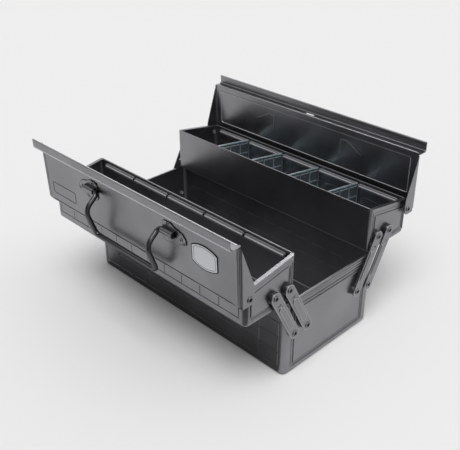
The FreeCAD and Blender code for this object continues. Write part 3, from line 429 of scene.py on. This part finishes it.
def brushed(name, colour):
    """Pale brushed metal with fine lines along the box."""
    material, shader = new_material(name, Metallic=0.5)
    tree = material.node_tree
    lines = object_noise(tree, scale=500, detail=3, roughness=0.6, stretch=(0.06, 1, 1))
    tree.links.new(tint(tree, spread(tree, lines), colour, dark=0.94, light=1.05),
                   shader.inputs["Base Color"])
    tree.links.new(spread(tree, lines, 0.3, 0.42), shader.inputs["Roughness"])
    return material


def give(node, material):
    """Put one material on every slot of a node."""
    slots = NODES[node].material_slots
    for slot in slots:
        slot.material = material
    if not slots:
        NODES[node].data.materials.append(material)


# Places


def node_box(node):
    low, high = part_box(node)
    return low / MM, high / MM


def on_lid(word, x, out, up):
    """A place on a lid, from its own frame: outwards from the pivot, and up along the panel."""
    side = SIDE[word]
    lean = math.radians(-side * LID_LEAN[word])
    across, height = LID_PIVOT
    return (x, side * across + out * side * math.cos(lean) - up * math.sin(lean),
            height + out * side * math.sin(lean) + up * math.cos(lean))


def falling(top, near, far, fall):
    """The height at a drop below an edge that falls evenly from near to far."""
    return lambda across, drop: top - drop - fall * (across - near) / (far - near)


def rounded(corners, radius):
    """The closed outline of a polygon whose corners are rounded off."""
    outline = []
    steps = 6
    befores, afters = corners[-1:] + corners[:-1], corners[1:] + corners[:1]
    for before, corner, after in zip(befores, corners, afters):
        corner = Vector(corner)
        start = corner + (Vector(before) - corner).normalized() * radius
        stop = corner + (Vector(after) - corner).normalized() * radius
        for step in range(steps + 1):
            share = step / steps
            outline.append(start * (1 - share) ** 2 + corner * 2 * share * (1 - share)
                           + stop * share ** 2)
    return outline


def stadium(low, high, radius):
    """The closed outline round two points at one x, as a link has it."""
    steps = 10
    along = (high - low).normalized()
    across = along.cross(Vector((1, 0, 0)))
    turns = [math.pi * step / steps for step in range(steps + 1)]
    arc = [radius * (across * math.cos(turn) + along * math.sin(turn)) for turn in turns]
    return [high + place for place in arc] + [low - place for place in arc]


def brick_rows(wall, rows, gap=BRICK_GAP):
    """The level lines of the brick pattern on one long wall, broken at each upright."""
    return [[(x + gap, wall, z), (x + BRICK - gap, wall, z)] for z in rows for x in COLUMNS[:-1]]


def brick_uprights(wall, rows, height):
    """The uprights of the brick pattern on one long wall, broken at each row."""
    return [[(x, wall, z + BRICK_GAP), (x, wall, z + height - BRICK_GAP)]
            for x in COLUMNS for z in rows]


# Pieces


def carried(piece, body):
    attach(piece, body)
    return piece


def beads(name, body, finish, radius, runs, closed=False):
    """Round beads along runs of places, as a rolled edge or a pressed line has them."""
    curve = bpy.data.curves.new(name, "CURVE")
    curve.dimensions = "3D"
    curve.bevel_depth = radius
    curve.bevel_resolution = 2
    curve.use_fill_caps = True
    for run in runs:
        spline = curve.splines.new("POLY")
        spline.points.add(len(run) - 1)
        for point, place in zip(spline.points, run):
            point.co = (*(Vector(place) * MM), 1)
        spline.use_cyclic_u = closed
    curve.materials.append(bpy.data.materials[finish])
    piece = bpy.data.objects.new(name, curve)
    bpy.context.scene.collection.objects.link(piece)
    return carried(piece, body)


def pick(piece, kind, test):
    """Edit the piece with only those faces or edges selected that pass the test."""
    bpy.context.view_layer.objects.active = piece
    if bpy.context.mode != "EDIT_MESH":
        bpy.ops.object.mode_set(mode="EDIT")
    bpy.ops.mesh.select_mode(type=kind)
    bpy.ops.mesh.select_all(action="DESELECT")
    mesh = bmesh.from_edit_mesh(piece.data)
    for part in mesh.faces if kind == "FACE" else mesh.edges:
        if test(part):
            part.select_set(True)
    bmesh.update_edit_mesh(piece.data)


def spans_x(edge):
    return abs(edge.verts[0].co.x - edge.verts[1].co.x) > TINY


def faces_along(face):
    return abs(face.normal.x) > FLAT


def lower(drop):
    bpy.ops.transform.translate(value=(0, 0, -drop * MM))


def bevel(width, segments):
    bpy.ops.mesh.bevel(offset=width * MM, segments=segments, affect="EDGES")


def inset(width, depth=0):
    bpy.ops.mesh.inset(thickness=width * MM, depth=depth * MM)


def extrude(x):
    bpy.ops.mesh.extrude_region_move(TRANSFORM_OT_translate={"value": (x * MM, 0, 0)})


def widen(share, x):
    """Scale what is picked about the X axis, at one place along it."""
    bpy.ops.transform.resize(value=(1, share, share), center_override=(x * MM, 0, 0))


def paint(piece, finish, test):
    """Give the faces that pass the test a finish of their own."""
    piece.data.materials.append(bpy.data.materials[finish])
    for face in piece.data.polygons:
        if test(face):
            face.material_index = len(piece.data.materials) - 1


def close_mesh(piece, angle=35):
    """Leave edit mode with doubles merged, normals outward and soft bends shaded smooth."""
    if bpy.context.mode != "EDIT_MESH":
        bpy.ops.object.mode_set(mode="EDIT")
    bpy.ops.mesh.select_all(action="SELECT")
    bpy.ops.mesh.remove_doubles(threshold=DOUBLES)
    bpy.ops.mesh.normals_make_consistent(inside=False)
    bpy.ops.object.mode_set(mode="OBJECT")
    bpy.ops.object.shade_smooth_by_angle(angle=math.radians(angle))


def pressed_copy(node, name):
    """A copy of a pressed part with its flat faces whole again, ready to be worked on."""
    bpy.ops.object.select_all(action="DESELECT")
    piece = bpy.data.objects.new(name, NODES[node].data.copy())
    bpy.context.scene.collection.objects.link(piece)
    piece.select_set(True)
    piece.data.materials.clear()
    pick(piece, "FACE", lambda face: True)
    bpy.ops.mesh.remove_doubles(threshold=DOUBLES)
    bpy.ops.mesh.dissolve_limited(angle_limit=math.radians(1))
    return piece


def block(middle, span):
    """A bar to work on, with its own middle and span."""
    bpy.ops.object.select_all(action="DESELECT")
    bpy.ops.mesh.primitive_cube_add(size=1, location=middle * MM, scale=Vector(span) * MM)
    bpy.ops.object.transform_apply(location=True, rotation=True, scale=True)
    return bpy.context.object


def disc(radius, width, sides):
    """A disc to work on, lying along X with one face at the origin."""
    bpy.ops.object.select_all(action="DESELECT")
    bpy.ops.mesh.primitive_cylinder_add(
        vertices=sides, radius=radius * MM, depth=width * MM, location=(width * MM / 2, 0, 0),
        rotation=(0, QUARTER_TURN, 0),
    )
    bpy.ops.object.transform_apply(location=True, rotation=True, scale=True)
    return bpy.context.object


def ledge_cap(middle, length, inwards):
    """One length of ledge: a bar whose upper corner, on the open side, is cut to a long slope."""
    cap = block(middle, (length, LEDGE_WIDTH, LEDGE_HEIGHT))

    def is_nose(edge):
        return all((v.co.y - middle.y * MM) * inwards > 0 and v.co.z > middle.z * MM
                   for v in edge.verts)

    pick(cap, "EDGE", is_nose)
    lower(LEDGE_NOSE_DROP)
    bevel(LEDGE_NOSE_BEVEL, segments=1)
    pick(cap, "FACE", faces_along)
    inset(LEDGE_END_INSET, LEDGE_END_DEPTH)
    close_mesh(cap, angle=10)
    return cap


def divider_plate(spot, low, high):
    """A plate whose top falls to the far side, its field set back within a flat border."""
    middle = Vector((spot, (low.y + high.y) / 2, (low.z + high.z - DIVIDER_TRIM) / 2))
    plate = block(middle, (DIVIDER_SHEET, high.y - low.y - DIVIDER_TRIM,
                           high.z - low.z - DIVIDER_TRIM))
    half_way = middle * MM

    def is_far_top(edge):
        return all(v.co.y > half_way.y and v.co.z > half_way.z for v in edge.verts)

    def is_lower_corner(edge):
        return spans_x(edge) and all(v.co.z < half_way.z for v in edge.verts)

    pick(plate, "EDGE", is_far_top)
    lower(DIVIDER_FALL)
    pick(plate, "EDGE", is_lower_corner)
    bevel(DIVIDER_CORNER, segments=4)
    pick(plate, "FACE", faces_along)
    inset(DIVIDER_BORDER, -DIVIDER_FIELD_SINK)
    close_mesh(plate, angle=30)
    return plate


def join_as(pieces, name):
    """Join pieces into the first of them."""
    bpy.ops.object.select_all(action="DESELECT")
    for piece in pieces:
        piece.select_set(True)
    bpy.context.view_layer.objects.active = pieces[0]
    bpy.ops.object.join()
    pieces[0].name = name
    return pieces[0]


def hollow_rivet(head, height, bore, shank, length, tail):
    """A rivet along X with the underside of its head at the origin: domed, hollow and clinched."""
    rivet = disc(head, height, sides=28)
    dome = height * DOME_SHARE
    neck = height - length
    pick(rivet, "EDGE", lambda edge: all(v.co.x > height * MM / 2 for v in edge.verts))
    bevel(dome, segments=3)
    pick(rivet, "FACE", lambda face: face.normal.x > FLAT)
    inset(head - dome - bore)
    extrude(-height * BORE_DEPTH_SHARE)
    pick(rivet, "FACE", lambda face: face.normal.x < -FLAT)
    inset(head - shank)
    extrude(neck)
    extrude(0)
    widen(CLINCH_FLARE, neck)
    extrude(-height)
    inset(shank * CLINCH_WALL_SHARE)
    extrude(height * CLINCH_DEPTH_SHARE)
    close_mesh(rivet)
    rivet.data.materials.append(bpy.data.materials["rivet_enamel"])

    def in_bore(face):
        x, y, z = face.center / MM
        return TINY < x < height - TINY and math.hypot(y, z) < bore

    # The bore is painted near-black, as painted shade in the hollow
    paint(rivet, "rivet_bore_shade", in_bore)
    # The tail gets its own finish, which on the pivot rivets is a painted glint
    paint(rivet, tail, lambda face: face.center.x < neck * MM)
    return rivet


def set_rivets(name, body, node, rivet, places):
    """Copies of one rivet, each turned to its place, joined as one piece instead of a node."""
    twins = []
    for turn, place in places:
        mesh = rivet.data.copy()
        mesh.transform(Matrix.Translation(Vector(place) * MM) @ turn)
        twin = bpy.data.objects.new(name, mesh)
        bpy.context.scene.collection.objects.link(twin)
        twins.append(twin)
    piece = carried(join_as(twins, name), body)
    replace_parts(piece, node)


def end_turn(end):
    return Matrix.Rotation(0 if end > 0 else math.pi, 4, "Z")


# Operators


class ToolBoxOperator:
    bl_options = {"REGISTER", "UNDO"}


class OBJECT_OT_tool_box_finishes(ToolBoxOperator, Operator):
    """Give every pressed, bent and riveted piece its finish"""

    bl_idname = "object.tool_box_finishes"
    bl_label = "Finishes"

    def execute(self, context):
        look = context.scene.tool_box_finish
        coat = enamel("satin_enamel", look.enamel_colour)
        rod = enamel("rod_enamel", scaled(look.enamel_colour, 0.42))
        steel = plated("blackened_steel", look.rivet_colour)
        sheet = zinc("zinc_sheet", scaled(look.zinc_colour, 0.6), roughness=0.5)
        plate = brushed("plate_metal", look.plate_colour)
        brushed("plate_border", scaled(look.plate_colour, 0.45))
        # Lighter copies of the zinc for hems, ribs and edges, as painted highlights
        for name, shade, sheen in (("painted_sheen_zinc", 2.2, 0.8), ("hem_painted_glare_zinc", 2.9, 0.9)):
            zinc(name, scaled(look.zinc_colour, shade), sheen)
        # The copies lighter than the coat are painted highlights and sheen on beads, rolls, lines
        # and ledges
        for name, shade, roughness in (
            ("rolled_enamel", 1.0, 0.48), ("painted_sheen_enamel", 1.3, 0.36),
            ("ledge_painted_sheen", 1.5, 0.52), ("painted_highlight_enamel", 1.7, 0.36),
            ("painted_glare_enamel", 2.8, 0.5), ("rivet_enamel", 0.8, 0.3),
        ):
            enamel(name, scaled(look.enamel_colour, shade), roughness)
        # The two copies at an eighth of the rivet colour are near-black painted shade in rivet
        # bores and along creases, seams and side faces; the copy six times lighter is a painted
        # glint on the clinched rivet tails
        for name, shade, roughness in (
            ("rivet_bore_shade", 0.12, 0.6), ("rivet_tail_glint", 6, 0.3),
            ("bushing_steel", 0.5, 0.3), ("edge_shade", 0.12, 0.6),
        ):
            plated(name, scaled(look.rivet_colour, shade), roughness)
        for name in NODES:
            if "divider" in name:
                give(name, sheet)
            elif "rivets" in name or "collars" in name:
                give(name, steel)
            elif "name_plate" in name:
                give(name, plate)
            elif name.endswith("_handle"):
                give(name, rod)
            else:
                give(name, coat)
        return {"FINISHED"}


class OBJECT_OT_base_beads(ToolBoxOperator, Operator):
    """Roll the rim of the base and press the beads of its walls and ends"""

    bl_idname = "object.base_beads"
    bl_label = "Base beads"

    def execute(self, context):
        size = context.scene.tool_box_beads
        body, slot = "base", "body_enamel"
        low, high = node_box("base_tub")

        def ring(drop, out):
            x, y, z = high.x + out, high.y + out, high.z - drop
            return rounded([(-x, -y, z), (x, -y, z), (x, y, z), (-x, y, z)], BASE_CORNER)

        beads("base_rim_roll", body, "satin_enamel", size.rim_roll,
              [ring(RIM_ROLL_DROP, 0)], closed=True)
        # The rim beads are painted lighter than the coat, as painted highlights
        beads("base_rim_beads", body, "painted_sheen_enamel", size.pressed_bead,
              [ring(drop, out) for drop, out in RIM_BEADS], closed=True)
        # Near-black lines just under the beads, as painted shade in the creases
        beads("base_rim_shade_beads", body, "edge_shade", size.fine_bead,
              [ring(drop, -RIM_SHADE_SINK) for drop in RIM_SHADE_DROPS], closed=True)
        frames = [rounded([(x, -y, bottom), (x, y, bottom), (x, y, top), (x, -y, top)],
                          END_FRAME_CORNER)
                  for x in (low.x + END_FRAME_SINK, high.x - END_FRAME_SINK)
                  for y, bottom, top in END_FRAMES]
        beads("base_end_beads", body, "satin_enamel", size.end_frame, frames, closed=True)
        outer, inner = [], []
        for side in SIDE.values():
            face = side * (high.y - OUTER_LINE_SINK)
            outer += brick_rows(face, BASE_BRICK_ROWS)
            outer += brick_uprights(face, BASE_BRICK_ROWS, BASE_BRICK_HEIGHT)
            inner += brick_rows(side * (high.y - INNER_LINE_SINK), BASE_BRICK_ROWS,
                                INNER_LINE_GAP)
        # The outer brick lines are painted lighter than the coat, as painted highlights
        for name, finish, lines in (("outer", "painted_sheen_enamel", outer),
                                    ("inner", "satin_enamel", inner)):
            beads(f"base_brick_{name}_lines", body, finish, size.fine_bead, lines)
        return {"FINISHED"}


class OBJECT_OT_tray_beads(ToolBoxOperator, Operator):
    """Roll the rims of both trays, round their ledges and press the lines of their walls"""

    bl_idname = "object.tray_beads"
    bl_label = "Tray beads"

    def execute(self, context):
        size = context.scene.tool_box_beads
        for word, side in SIDE.items():
            body = f"{word}_tray"
            low, high = node_box(body)
            long = high.x
            near, far = sorted((abs(low.y), abs(high.y)))
            brim = falling(high.z, near, far, TRAY_FALL)
            rims = [[(end * (long - BRIM_ROLL_INSET), side * y, brim(y, BRIM_ROLL_DROP))
                     for end in END.values()]
                    for y in (near + BRIM_INSET, far - BRIM_INSET)]
            beads(f"{body}_rim_rolls", body, "rolled_enamel", size.rim_roll, rims)
            stops = (LEDGE_MARGIN - long, *DIVIDER_SPOTS, long - LEDGE_MARGIN)
            caps = []
            for wall, inwards in ((near, 1), (far, -1)):
                y = side * (wall + inwards * (WALL + LEDGE_OFFSET))
                for start, stop in zip(stops, stops[1:]):
                    middle = Vector(((start + stop) / 2, y, brim(wall, LEDGE_DROP)))
                    caps.append(ledge_cap(middle, stop - start - DIVIDER_ROOM, side * inwards))
            ledges = carried(join_as(caps, f"{body}_ledge_caps"), body)
            # The ledges are painted half as light again as the coat, as a painted highlight on
            # their noses
            ledges.data.materials.append(bpy.data.materials["ledge_painted_sheen"])
            frames = []
            for x in (-long, long):
                for edge, bottom, drop in TRAY_FRAMES:
                    start, stop = near + edge, far - edge
                    corners = [(start, bottom), (stop, bottom), (stop, brim(stop, drop)),
                               (start, brim(start, drop))]
                    frames.append(rounded([(x, side * y, z) for y, z in corners],
                                          TRAY_FRAME_CORNER))
            beads(f"{body}_end_beads", body, "satin_enamel", size.pressed_bead, frames,
                  closed=True)
            lines = []
            for face in (far - TRAY_LINE_SINK, far - WALL + TRAY_LINE_SINK):
                lines += brick_rows(side * face, TRAY_BRICK_ROWS)
                lines += brick_uprights(side * face, TRAY_BRICK_ROWS, TRAY_BRICK_HEIGHT)
            beads(f"{body}_brick_lines", body, "satin_enamel", size.fine_bead, lines)
        return {"FINISHED"}


class OBJECT_OT_lid_beads(ToolBoxOperator, Operator):
    """Roll the ridges, steps and ends of both lids and press the lines of their panels"""

    bl_idname = "object.lid_beads"
    bl_label = "Lid beads"

    def execute(self, context):
        size = context.scene.tool_box_beads
        for word, (half, ridge, top, crest, step) in LIDS.items():
            body = f"{word}_lid"

            def level(reach, out, up):
                return [on_lid(word, end * reach, out, up) for end in END.values()]

            # Both panel lines are painted lighter than the coat, as painted highlights
            for name, finish, sink, inwards, head, foot in PANEL_LINES:
                x = half - inwards
                outline = rounded([(-x, 0, head), (-x, 0, foot), (x, 0, foot), (x, 0, head)],
                                  PANEL_LINE_CORNER)
                line = [on_lid(word, place.x, PANEL_FACE - sink, place.z) for place in outline]
                beads(f"{word}_panel_{name}_line", body, finish, size.pressed_bead,
                      [line], closed=True)
            # Crest and step finishes lighter than the coat are painted highlights
            beads(f"{word}_ridge_rolls", body, crest, size.ridge_roll,
                  [level(ridge, RIDGE_OUT, top - RIDGE_ROLL_DROP)])
            steps = [level(ridge, *place) for place in STEP_PLACES]
            steps.append(level(half - SHOULDER_INSET, *SHOULDER_PLACE))
            beads(f"{word}_step_rolls", body, step, size.ridge_roll, steps)
            bends = [[on_lid(word, end * (half - CORNER_BEND_INSET),
                             PANEL_FACE - CORNER_BEND_INSET, up) for up in CORNER_BEND_SPAN]
                     for end in END.values()]
            beads(f"{word}_lid_end_rolls", body, "satin_enamel", size.corner_bend, bends)
            # The seat lines are painted much lighter than the coat, as painted highlights
            seats = [[on_lid(word, x * end, PANEL_FACE - WALL, up) for x, up in SEAT_LINE]
                     for end in END.values()]
            beads(f"{word}_seat_lines", body, "painted_glare_enamel", size.pressed_bead, seats)
        return {"FINISHED"}


class OBJECT_OT_divider_beads(ToolBoxOperator, Operator):
    """Cut the four dividers, fold their top hems and press their ribs"""

    bl_idname = "object.divider_beads"
    bl_label = "Dividers"

    def execute(self, context):
        size = context.scene.tool_box_beads
        for number, spot in enumerate(DIVIDER_SPOTS, 1):
            node, body = f"rear_tray_divider_{number}", f"divider_{number}"
            low, high = node_box(node)
            brim = falling(high.z, low.y, high.y, DIVIDER_FALL)
            plate = divider_plate(spot, low, high)
            plate.name = f"{body}_plate"
            plate.data.materials.append(bpy.data.materials["zinc_sheet"])
            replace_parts(carried(plate, body), node)
            hem = [(spot, y, brim(y, HEM_DROP)) for y in (low.y + HEM_INSET, high.y - HEM_INSET)]
            # The hem is painted almost three times lighter than the zinc, as a painted highlight
            beads(f"{body}_hem", body, "hem_painted_glare_zinc", size.divider_hem, [hem])
            ribs = [[(spot, y, low.z + RIB_FOOT), (spot, y, brim(y, RIB_TOP_DROP))]
                    for y in RIB_UPRIGHTS]
            ribs += [[(spot, y, brim(y, drop)) for y in (start, stop - RIB_BREAK)]
                     for drop in RIB_DROPS for start, stop in zip(RIB_COLUMNS, RIB_COLUMNS[1:])]
            # The ribs and round edges are painted lighter than the zinc, as painted highlights
            beads(f"{body}_beads", body, "painted_sheen_zinc", size.divider_rib, ribs)
            edges = [[(spot, y, low.z + ROUND_EDGE_FOOT), (spot, y, brim(y, ROUND_EDGE_DROP))]
                     for y in (low.y + ROUND_EDGE_INSET, high.y - ROUND_EDGE_INSET)]
            beads(f"{body}_edges", body, "painted_sheen_zinc", size.divider_edge, edges)
        return {"FINISHED"}


class OBJECT_OT_link_rolls(ToolBoxOperator, Operator):
    """Round the edges of the eight links and of the raised panel on each"""

    bl_idname = "object.link_rolls"
    bl_label = "Link edges"

    def execute(self, context):
        size = context.scene.tool_box_beads
        for word, side in SIDE.items():
            for pair, base, tray in zip(("inner", "outer"), BASE_LINKS, TRAY_LINKS):
                runs = []
                for end in END.values():
                    for proud, first, last, radius in LINK_LINES:
                        start, stop = (Vector(((LINK_FACE + proud) * end, side * y, z))
                                       for y, z in (base, tray))
                        runs.append(stadium(start.lerp(stop, first), start.lerp(stop, last),
                                            radius))
                # The rolls are painted lighter than the coat, as painted highlights on the link's
                # edges
                beads(f"{word}_{pair}_link_rolls", f"{word}_{pair}_links",
                      "painted_highlight_enamel", size.link_roll, runs, closed=True)
        return {"FINISHED"}


class OBJECT_OT_pivot_rivets(ToolBoxOperator, Operator):
    """Close every pivot with a hollow rivet"""

    bl_idname = "object.pivot_rivets"
    bl_label = "Pivot rivets"

    def execute(self, context):
        # The tails are painted six times lighter than the rivets, as a painted glint
        rivet = hollow_rivet(**PIVOT_RIVET, tail="rivet_tail_glint")
        groups = [("base_link", "base", RIVET_FACE,
                   [(side * y, z) for side in SIDE.values() for y, z in BASE_LINKS])]
        for word, side in SIDE.items():
            groups += [(f"{word}_tray_link", f"{word}_tray", RIVET_FACE,
                        [(side * y, z) for y, z in TRAY_LINKS])]
        for word, side in SIDE.items():
            across, height = LID_PIVOT
            groups += [(f"{word}_lid", f"{word}_tray", LID_RIVET_FACE[word],
                        [(side * across, height)])]
        for name, body, face, spots in groups:
            node = f"{name}_rivets" if "link" in name else f"{name}_pivot_rivets"
            set_rivets(f"{name}_pivots", body, node, rivet,
                       [(end_turn(end), (face * end, *spot))
                        for end in END.values() for spot in spots])
        bpy.data.objects.remove(rivet)
        return {"FINISHED"}


class OBJECT_OT_link_bushings(ToolBoxOperator, Operator):
    """Set a grooved bushing behind the upper end of every link"""

    bl_idname = "object.link_bushings"
    bl_label = "Link bushings"

    def execute(self, context):
        bushing = disc(BUSHING_RADIUS, BUSHING_WIDTH, sides=36)
        half = BUSHING_WIDTH / 2

        def is_half_way(edge):
            return all(abs(v.co.x - half * MM) < TINY for v in edge.verts)

        pick(bushing, "EDGE", lambda edge: not spans_x(edge))
        bevel(BUSHING_BEVEL, segments=2)
        bpy.ops.mesh.select_all(action="SELECT")
        bpy.ops.mesh.bisect(plane_co=(half * MM, 0, 0), plane_no=(1, 0, 0))
        pick(bushing, "EDGE", is_half_way)
        bevel(GROOVE_WIDTH, segments=2)
        pick(bushing, "EDGE", is_half_way)
        widen(GROOVE_SHARE, half)
        close_mesh(bushing)
        bushing.data.materials.append(bpy.data.materials["bushing_steel"])
        for word, side in SIDE.items():
            places = [(end_turn(end), (BUSHING_FACE * end, side * y, z))
                      for end in END.values() for y, z in TRAY_LINKS]
            set_rivets(f"{word}_link_bushings", f"{word}_tray", f"{word}_tray_link_collars",
                       bushing, places)
        bpy.data.objects.remove(bushing)
        return {"FINISHED"}


class OBJECT_OT_bracket_rivets(ToolBoxOperator, Operator):
    """Rivet the handle brackets to the lids"""

    bl_idname = "object.bracket_rivets"
    bl_label = "Bracket rivets"

    def execute(self, context):
        rivet = hollow_rivet(**BRACKET_RIVET, tail="rivet_enamel")
        for word, side in SIDE.items():
            turn = (Matrix.Rotation(math.radians(-side * LID_LEAN[word]), 4, "X")
                    @ Matrix.Rotation(side * QUARTER_TURN, 4, "Z"))
            set_rivets(f"{word}_bracket_pins", f"{word}_lid", f"{word}_bracket_rivets", rivet,
                       [(turn, on_lid(word, x * end, PANEL_FACE + BRACKET_SHEET, up))
                        for end in END.values() for x, up in BRACKET_RIVETS])
        bpy.data.objects.remove(rivet)
        return {"FINISHED"}


class OBJECT_OT_handle_brackets(ToolBoxOperator, Operator):
    """Finish the four brackets, whose side faces are painted near-black as painted shade"""

    bl_idname = "object.handle_brackets"
    bl_label = "Handle brackets"

    def execute(self, context):
        size = context.scene.tool_box_beads
        for word in SIDE:
            body = f"{word}_lid"
            out = Vector(on_lid(word, 0, 1, 0)) - Vector(on_lid(word, 0, 0, 0))
            foot = Vector(on_lid(word, 0, PANEL_FACE, 0)).dot(out)

            def is_shaded_side(face):
                height = face.center.dot(out) / MM - foot
                return (abs(face.normal.dot(out)) < 0.1
                        and CUT_EDGE_MARGIN < height < BRACKET_SHEET - CUT_EDGE_MARGIN)

            for hand in END:
                node = f"{word}_handle_bracket_{hand}"
                piece = pressed_copy(node, f"{word}_bracket_{hand}")
                close_mesh(piece, angle=25)
                piece.data.materials.append(bpy.data.materials["satin_enamel"])
                # The side faces of each bracket are painted near-black, as painted shade
                paint(piece, "edge_shade", is_shaded_side)
                carried(piece, body)
                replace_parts(piece, node)
            # The seam bead is near-black, as painted shade round the bracket; the edge bead is
            # lighter, as a painted highlight
            for name, finish, proud, radius in (
                ("shade_lines", "edge_shade", SHADE_LINE_PROUD, size.bracket_shade_line),
                ("edges", "painted_sheen_enamel", EDGE_PROUD, size.bracket_highlight),
            ):
                loops = []
                for end in END.values():
                    outline = rounded([(x * end, 0, up) for x, up in BRACKET_CORNERS],
                                      BRACKET_CORNER)
                    loops.append([on_lid(word, place.x, PANEL_FACE + proud, place.z)
                                  for place in outline])
                beads(f"{word}_bracket_{name}", body, finish, radius, loops, closed=True)
        return {"FINISHED"}


class OBJECT_OT_name_plate(ToolBoxOperator, Operator):
    """Press a border into the blank name plate and lay a near-black bead of painted shade round it
    """

    bl_idname = "object.name_plate"
    bl_label = "Name plate"

    def execute(self, context):
        size = context.scene.tool_box_beads
        plate = pressed_copy("front_name_plate", "plate_outline")
        close_mesh(plate)
        face = max((each for each in plate.data.polygons if each.normal.y < -0.9),
                   key=lambda each: each.area)
        outline = [plate.data.vertices[index].co / MM for index in face.vertices]
        middle = sum(outline, Vector()) / len(outline)
        bpy.data.objects.remove(plate)
        # The seam bead is near-black, as painted shade round the plate
        for name, finish, (share, sink), radius in (
            ("name_plate_border", "plate_border", PLATE_BORDER, size.plate_border),
            ("name_plate_shade_line", "edge_shade", PLATE_SHADE_LINE, size.plate_shade_line),
        ):
            run = [middle + (place - middle) * share + Vector((0, sink, 0)) for place in outline]
            beads(name, "front_lid", finish, radius, [run], closed=True)
        return {"FINISHED"}


# Stage


def lay_floor(colour):
    bpy.ops.object.select_all(action="DESELECT")
    bpy.ops.mesh.primitive_plane_add(size=FLOOR_SPAN, location=(0, 0, 0))
    floor = bpy.context.object
    floor.name = "floor"
    paper, shader = new_material("floor_paper", Roughness=0.9, Specular_IOR_Level=0.1)
    shader.inputs["Base Color"].default_value = (*colour, 1)
    floor.data.materials.append(paper)


def hang_lamp(name, strength, aim, width, lights_floor):
    lamp = bpy.data.lights.new(name, "SUN")
    lamp.energy = strength
    lamp.angle = math.radians(width)
    holder = bpy.data.objects.new(name, lamp)
    holder.rotation_euler = Vector(aim).to_track_quat("Z", "Y").to_euler()
    holder.location = Vector(aim) * LAMP_REACH
    holder.visible_diffuse = lights_floor
    bpy.context.scene.collection.objects.link(holder)


def lay_flag(name, grey, corners):
    mesh = bpy.data.meshes.new(name)
    mesh.from_pydata([(x, y, FLAG_HEIGHT) for x, y in corners], [], [range(len(corners))])
    flag = bpy.data.objects.new(name, mesh)
    flag.visible_camera = flag.visible_diffuse = flag.visible_shadow = False
    bpy.context.scene.collection.objects.link(flag)
    board, shader = new_material(name, Roughness=1.0, Specular_IOR_Level=0.0)
    shader.inputs["Base Color"].default_value = (grey, grey, grey, 1)
    mesh.materials.append(board)


def light_studio(scene):
    """A soft room: level light, an even backdrop, and a darker side for the enamel to mirror."""
    world = scene.world or bpy.data.worlds.new("studio")
    scene.world = world
    world.use_nodes = True
    tree = world.node_tree
    ground = tree.nodes["Background"]
    ground.inputs[0].default_value = (1, 1, 1, 1)
    path = add_node(tree, "ShaderNodeLightPath")
    way = add_node(tree, "ShaderNodeTexCoord").outputs["Generated"]
    depth = add_node(tree, "ShaderNodeSeparateXYZ", {"Vector": way}).outputs["Y"]
    shine = add_node(tree, "ShaderNodeMapRange", {"Value": depth, **SHINE_RAMP})
    level = add_node(tree, "ShaderNodeMix", {0: path.outputs["Is Glossy Ray"], 2: SOFT_LEVEL,
                                             3: shine.outputs[0]})
    level = add_node(tree, "ShaderNodeMix", {0: path.outputs["Is Camera Ray"],
                                             2: level.outputs[0], 3: BACKDROP_LEVEL})
    tree.links.new(level.outputs[0], ground.inputs[1])


def stand_camera(scene, stage):
    camera = bpy.data.objects.new("camera", bpy.data.cameras.new("camera"))
    camera.data.sensor_width = 36
    camera.data.lens = stage.lens
    camera.data.clip_start = 0.01
    camera.location = stage.camera_place
    camera.rotation_euler = (QUARTER_TURN - stage.camera_pitch, 0, stage.camera_azimuth)
    scene.collection.objects.link(camera)
    scene.camera = camera


class OBJECT_OT_tool_box_stage(ToolBoxOperator, Operator):
    """Lay the floor, hang the lamps and stand the camera where the photograph was taken"""

    bl_idname = "object.tool_box_stage"
    bl_label = "Stage"

    def execute(self, context):
        scene = context.scene
        stage = scene.tool_box_stage
        scene.view_settings.view_transform = "Standard"
        lay_floor(stage.floor_colour)
        for lamp in LAMPS:
            hang_lamp(*lamp)
        for flag in FLAGS:
            lay_flag(*flag)
        light_studio(scene)
        stand_camera(scene, stage)
        return {"FINISHED"}


class VIEW3D_PT_tool_box(Panel):
    """Sizes, colours and building steps of the tool box"""

    bl_label = "Tool Box"
    bl_space_type = "VIEW_3D"
    bl_region_type = "UI"
    bl_category = "Tool Box"

    def draw(self, context):
        for settings in (context.scene.tool_box_finish, context.scene.tool_box_beads,
                         context.scene.tool_box_stage):
            for name in settings.__annotations__:
                self.layout.prop(settings, name)
        for operator in STEPS:
            self.layout.operator(operator.bl_idname)


STEPS = (
    OBJECT_OT_tool_box_finishes,
    OBJECT_OT_base_beads,
    OBJECT_OT_tray_beads,
    OBJECT_OT_lid_beads,
    OBJECT_OT_divider_beads,
    OBJECT_OT_link_rolls,
    OBJECT_OT_pivot_rivets,
    OBJECT_OT_link_bushings,
    OBJECT_OT_bracket_rivets,
    OBJECT_OT_handle_brackets,
    OBJECT_OT_name_plate,
    OBJECT_OT_tool_box_stage,
)
CLASSES = (FinishSettings, BeadSettings, StageSettings, *STEPS, VIEW3D_PT_tool_box)


def register():
    for each in CLASSES:
        bpy.utils.register_class(each)
    bpy.types.Scene.tool_box_finish = PointerProperty(type=FinishSettings)
    bpy.types.Scene.tool_box_beads = PointerProperty(type=BeadSettings)
    bpy.types.Scene.tool_box_stage = PointerProperty(type=StageSettings)


def unregister():
    del bpy.types.Scene.tool_box_finish
    del bpy.types.Scene.tool_box_beads
    del bpy.types.Scene.tool_box_stage
    for each in reversed(CLASSES):
        bpy.utils.unregister_class(each)


def main():
    register()
    for operator in STEPS:
        group, name = operator.bl_idname.split(".")
        getattr(getattr(bpy.ops, group), name)()


if __name__ == "__main__":
    main()
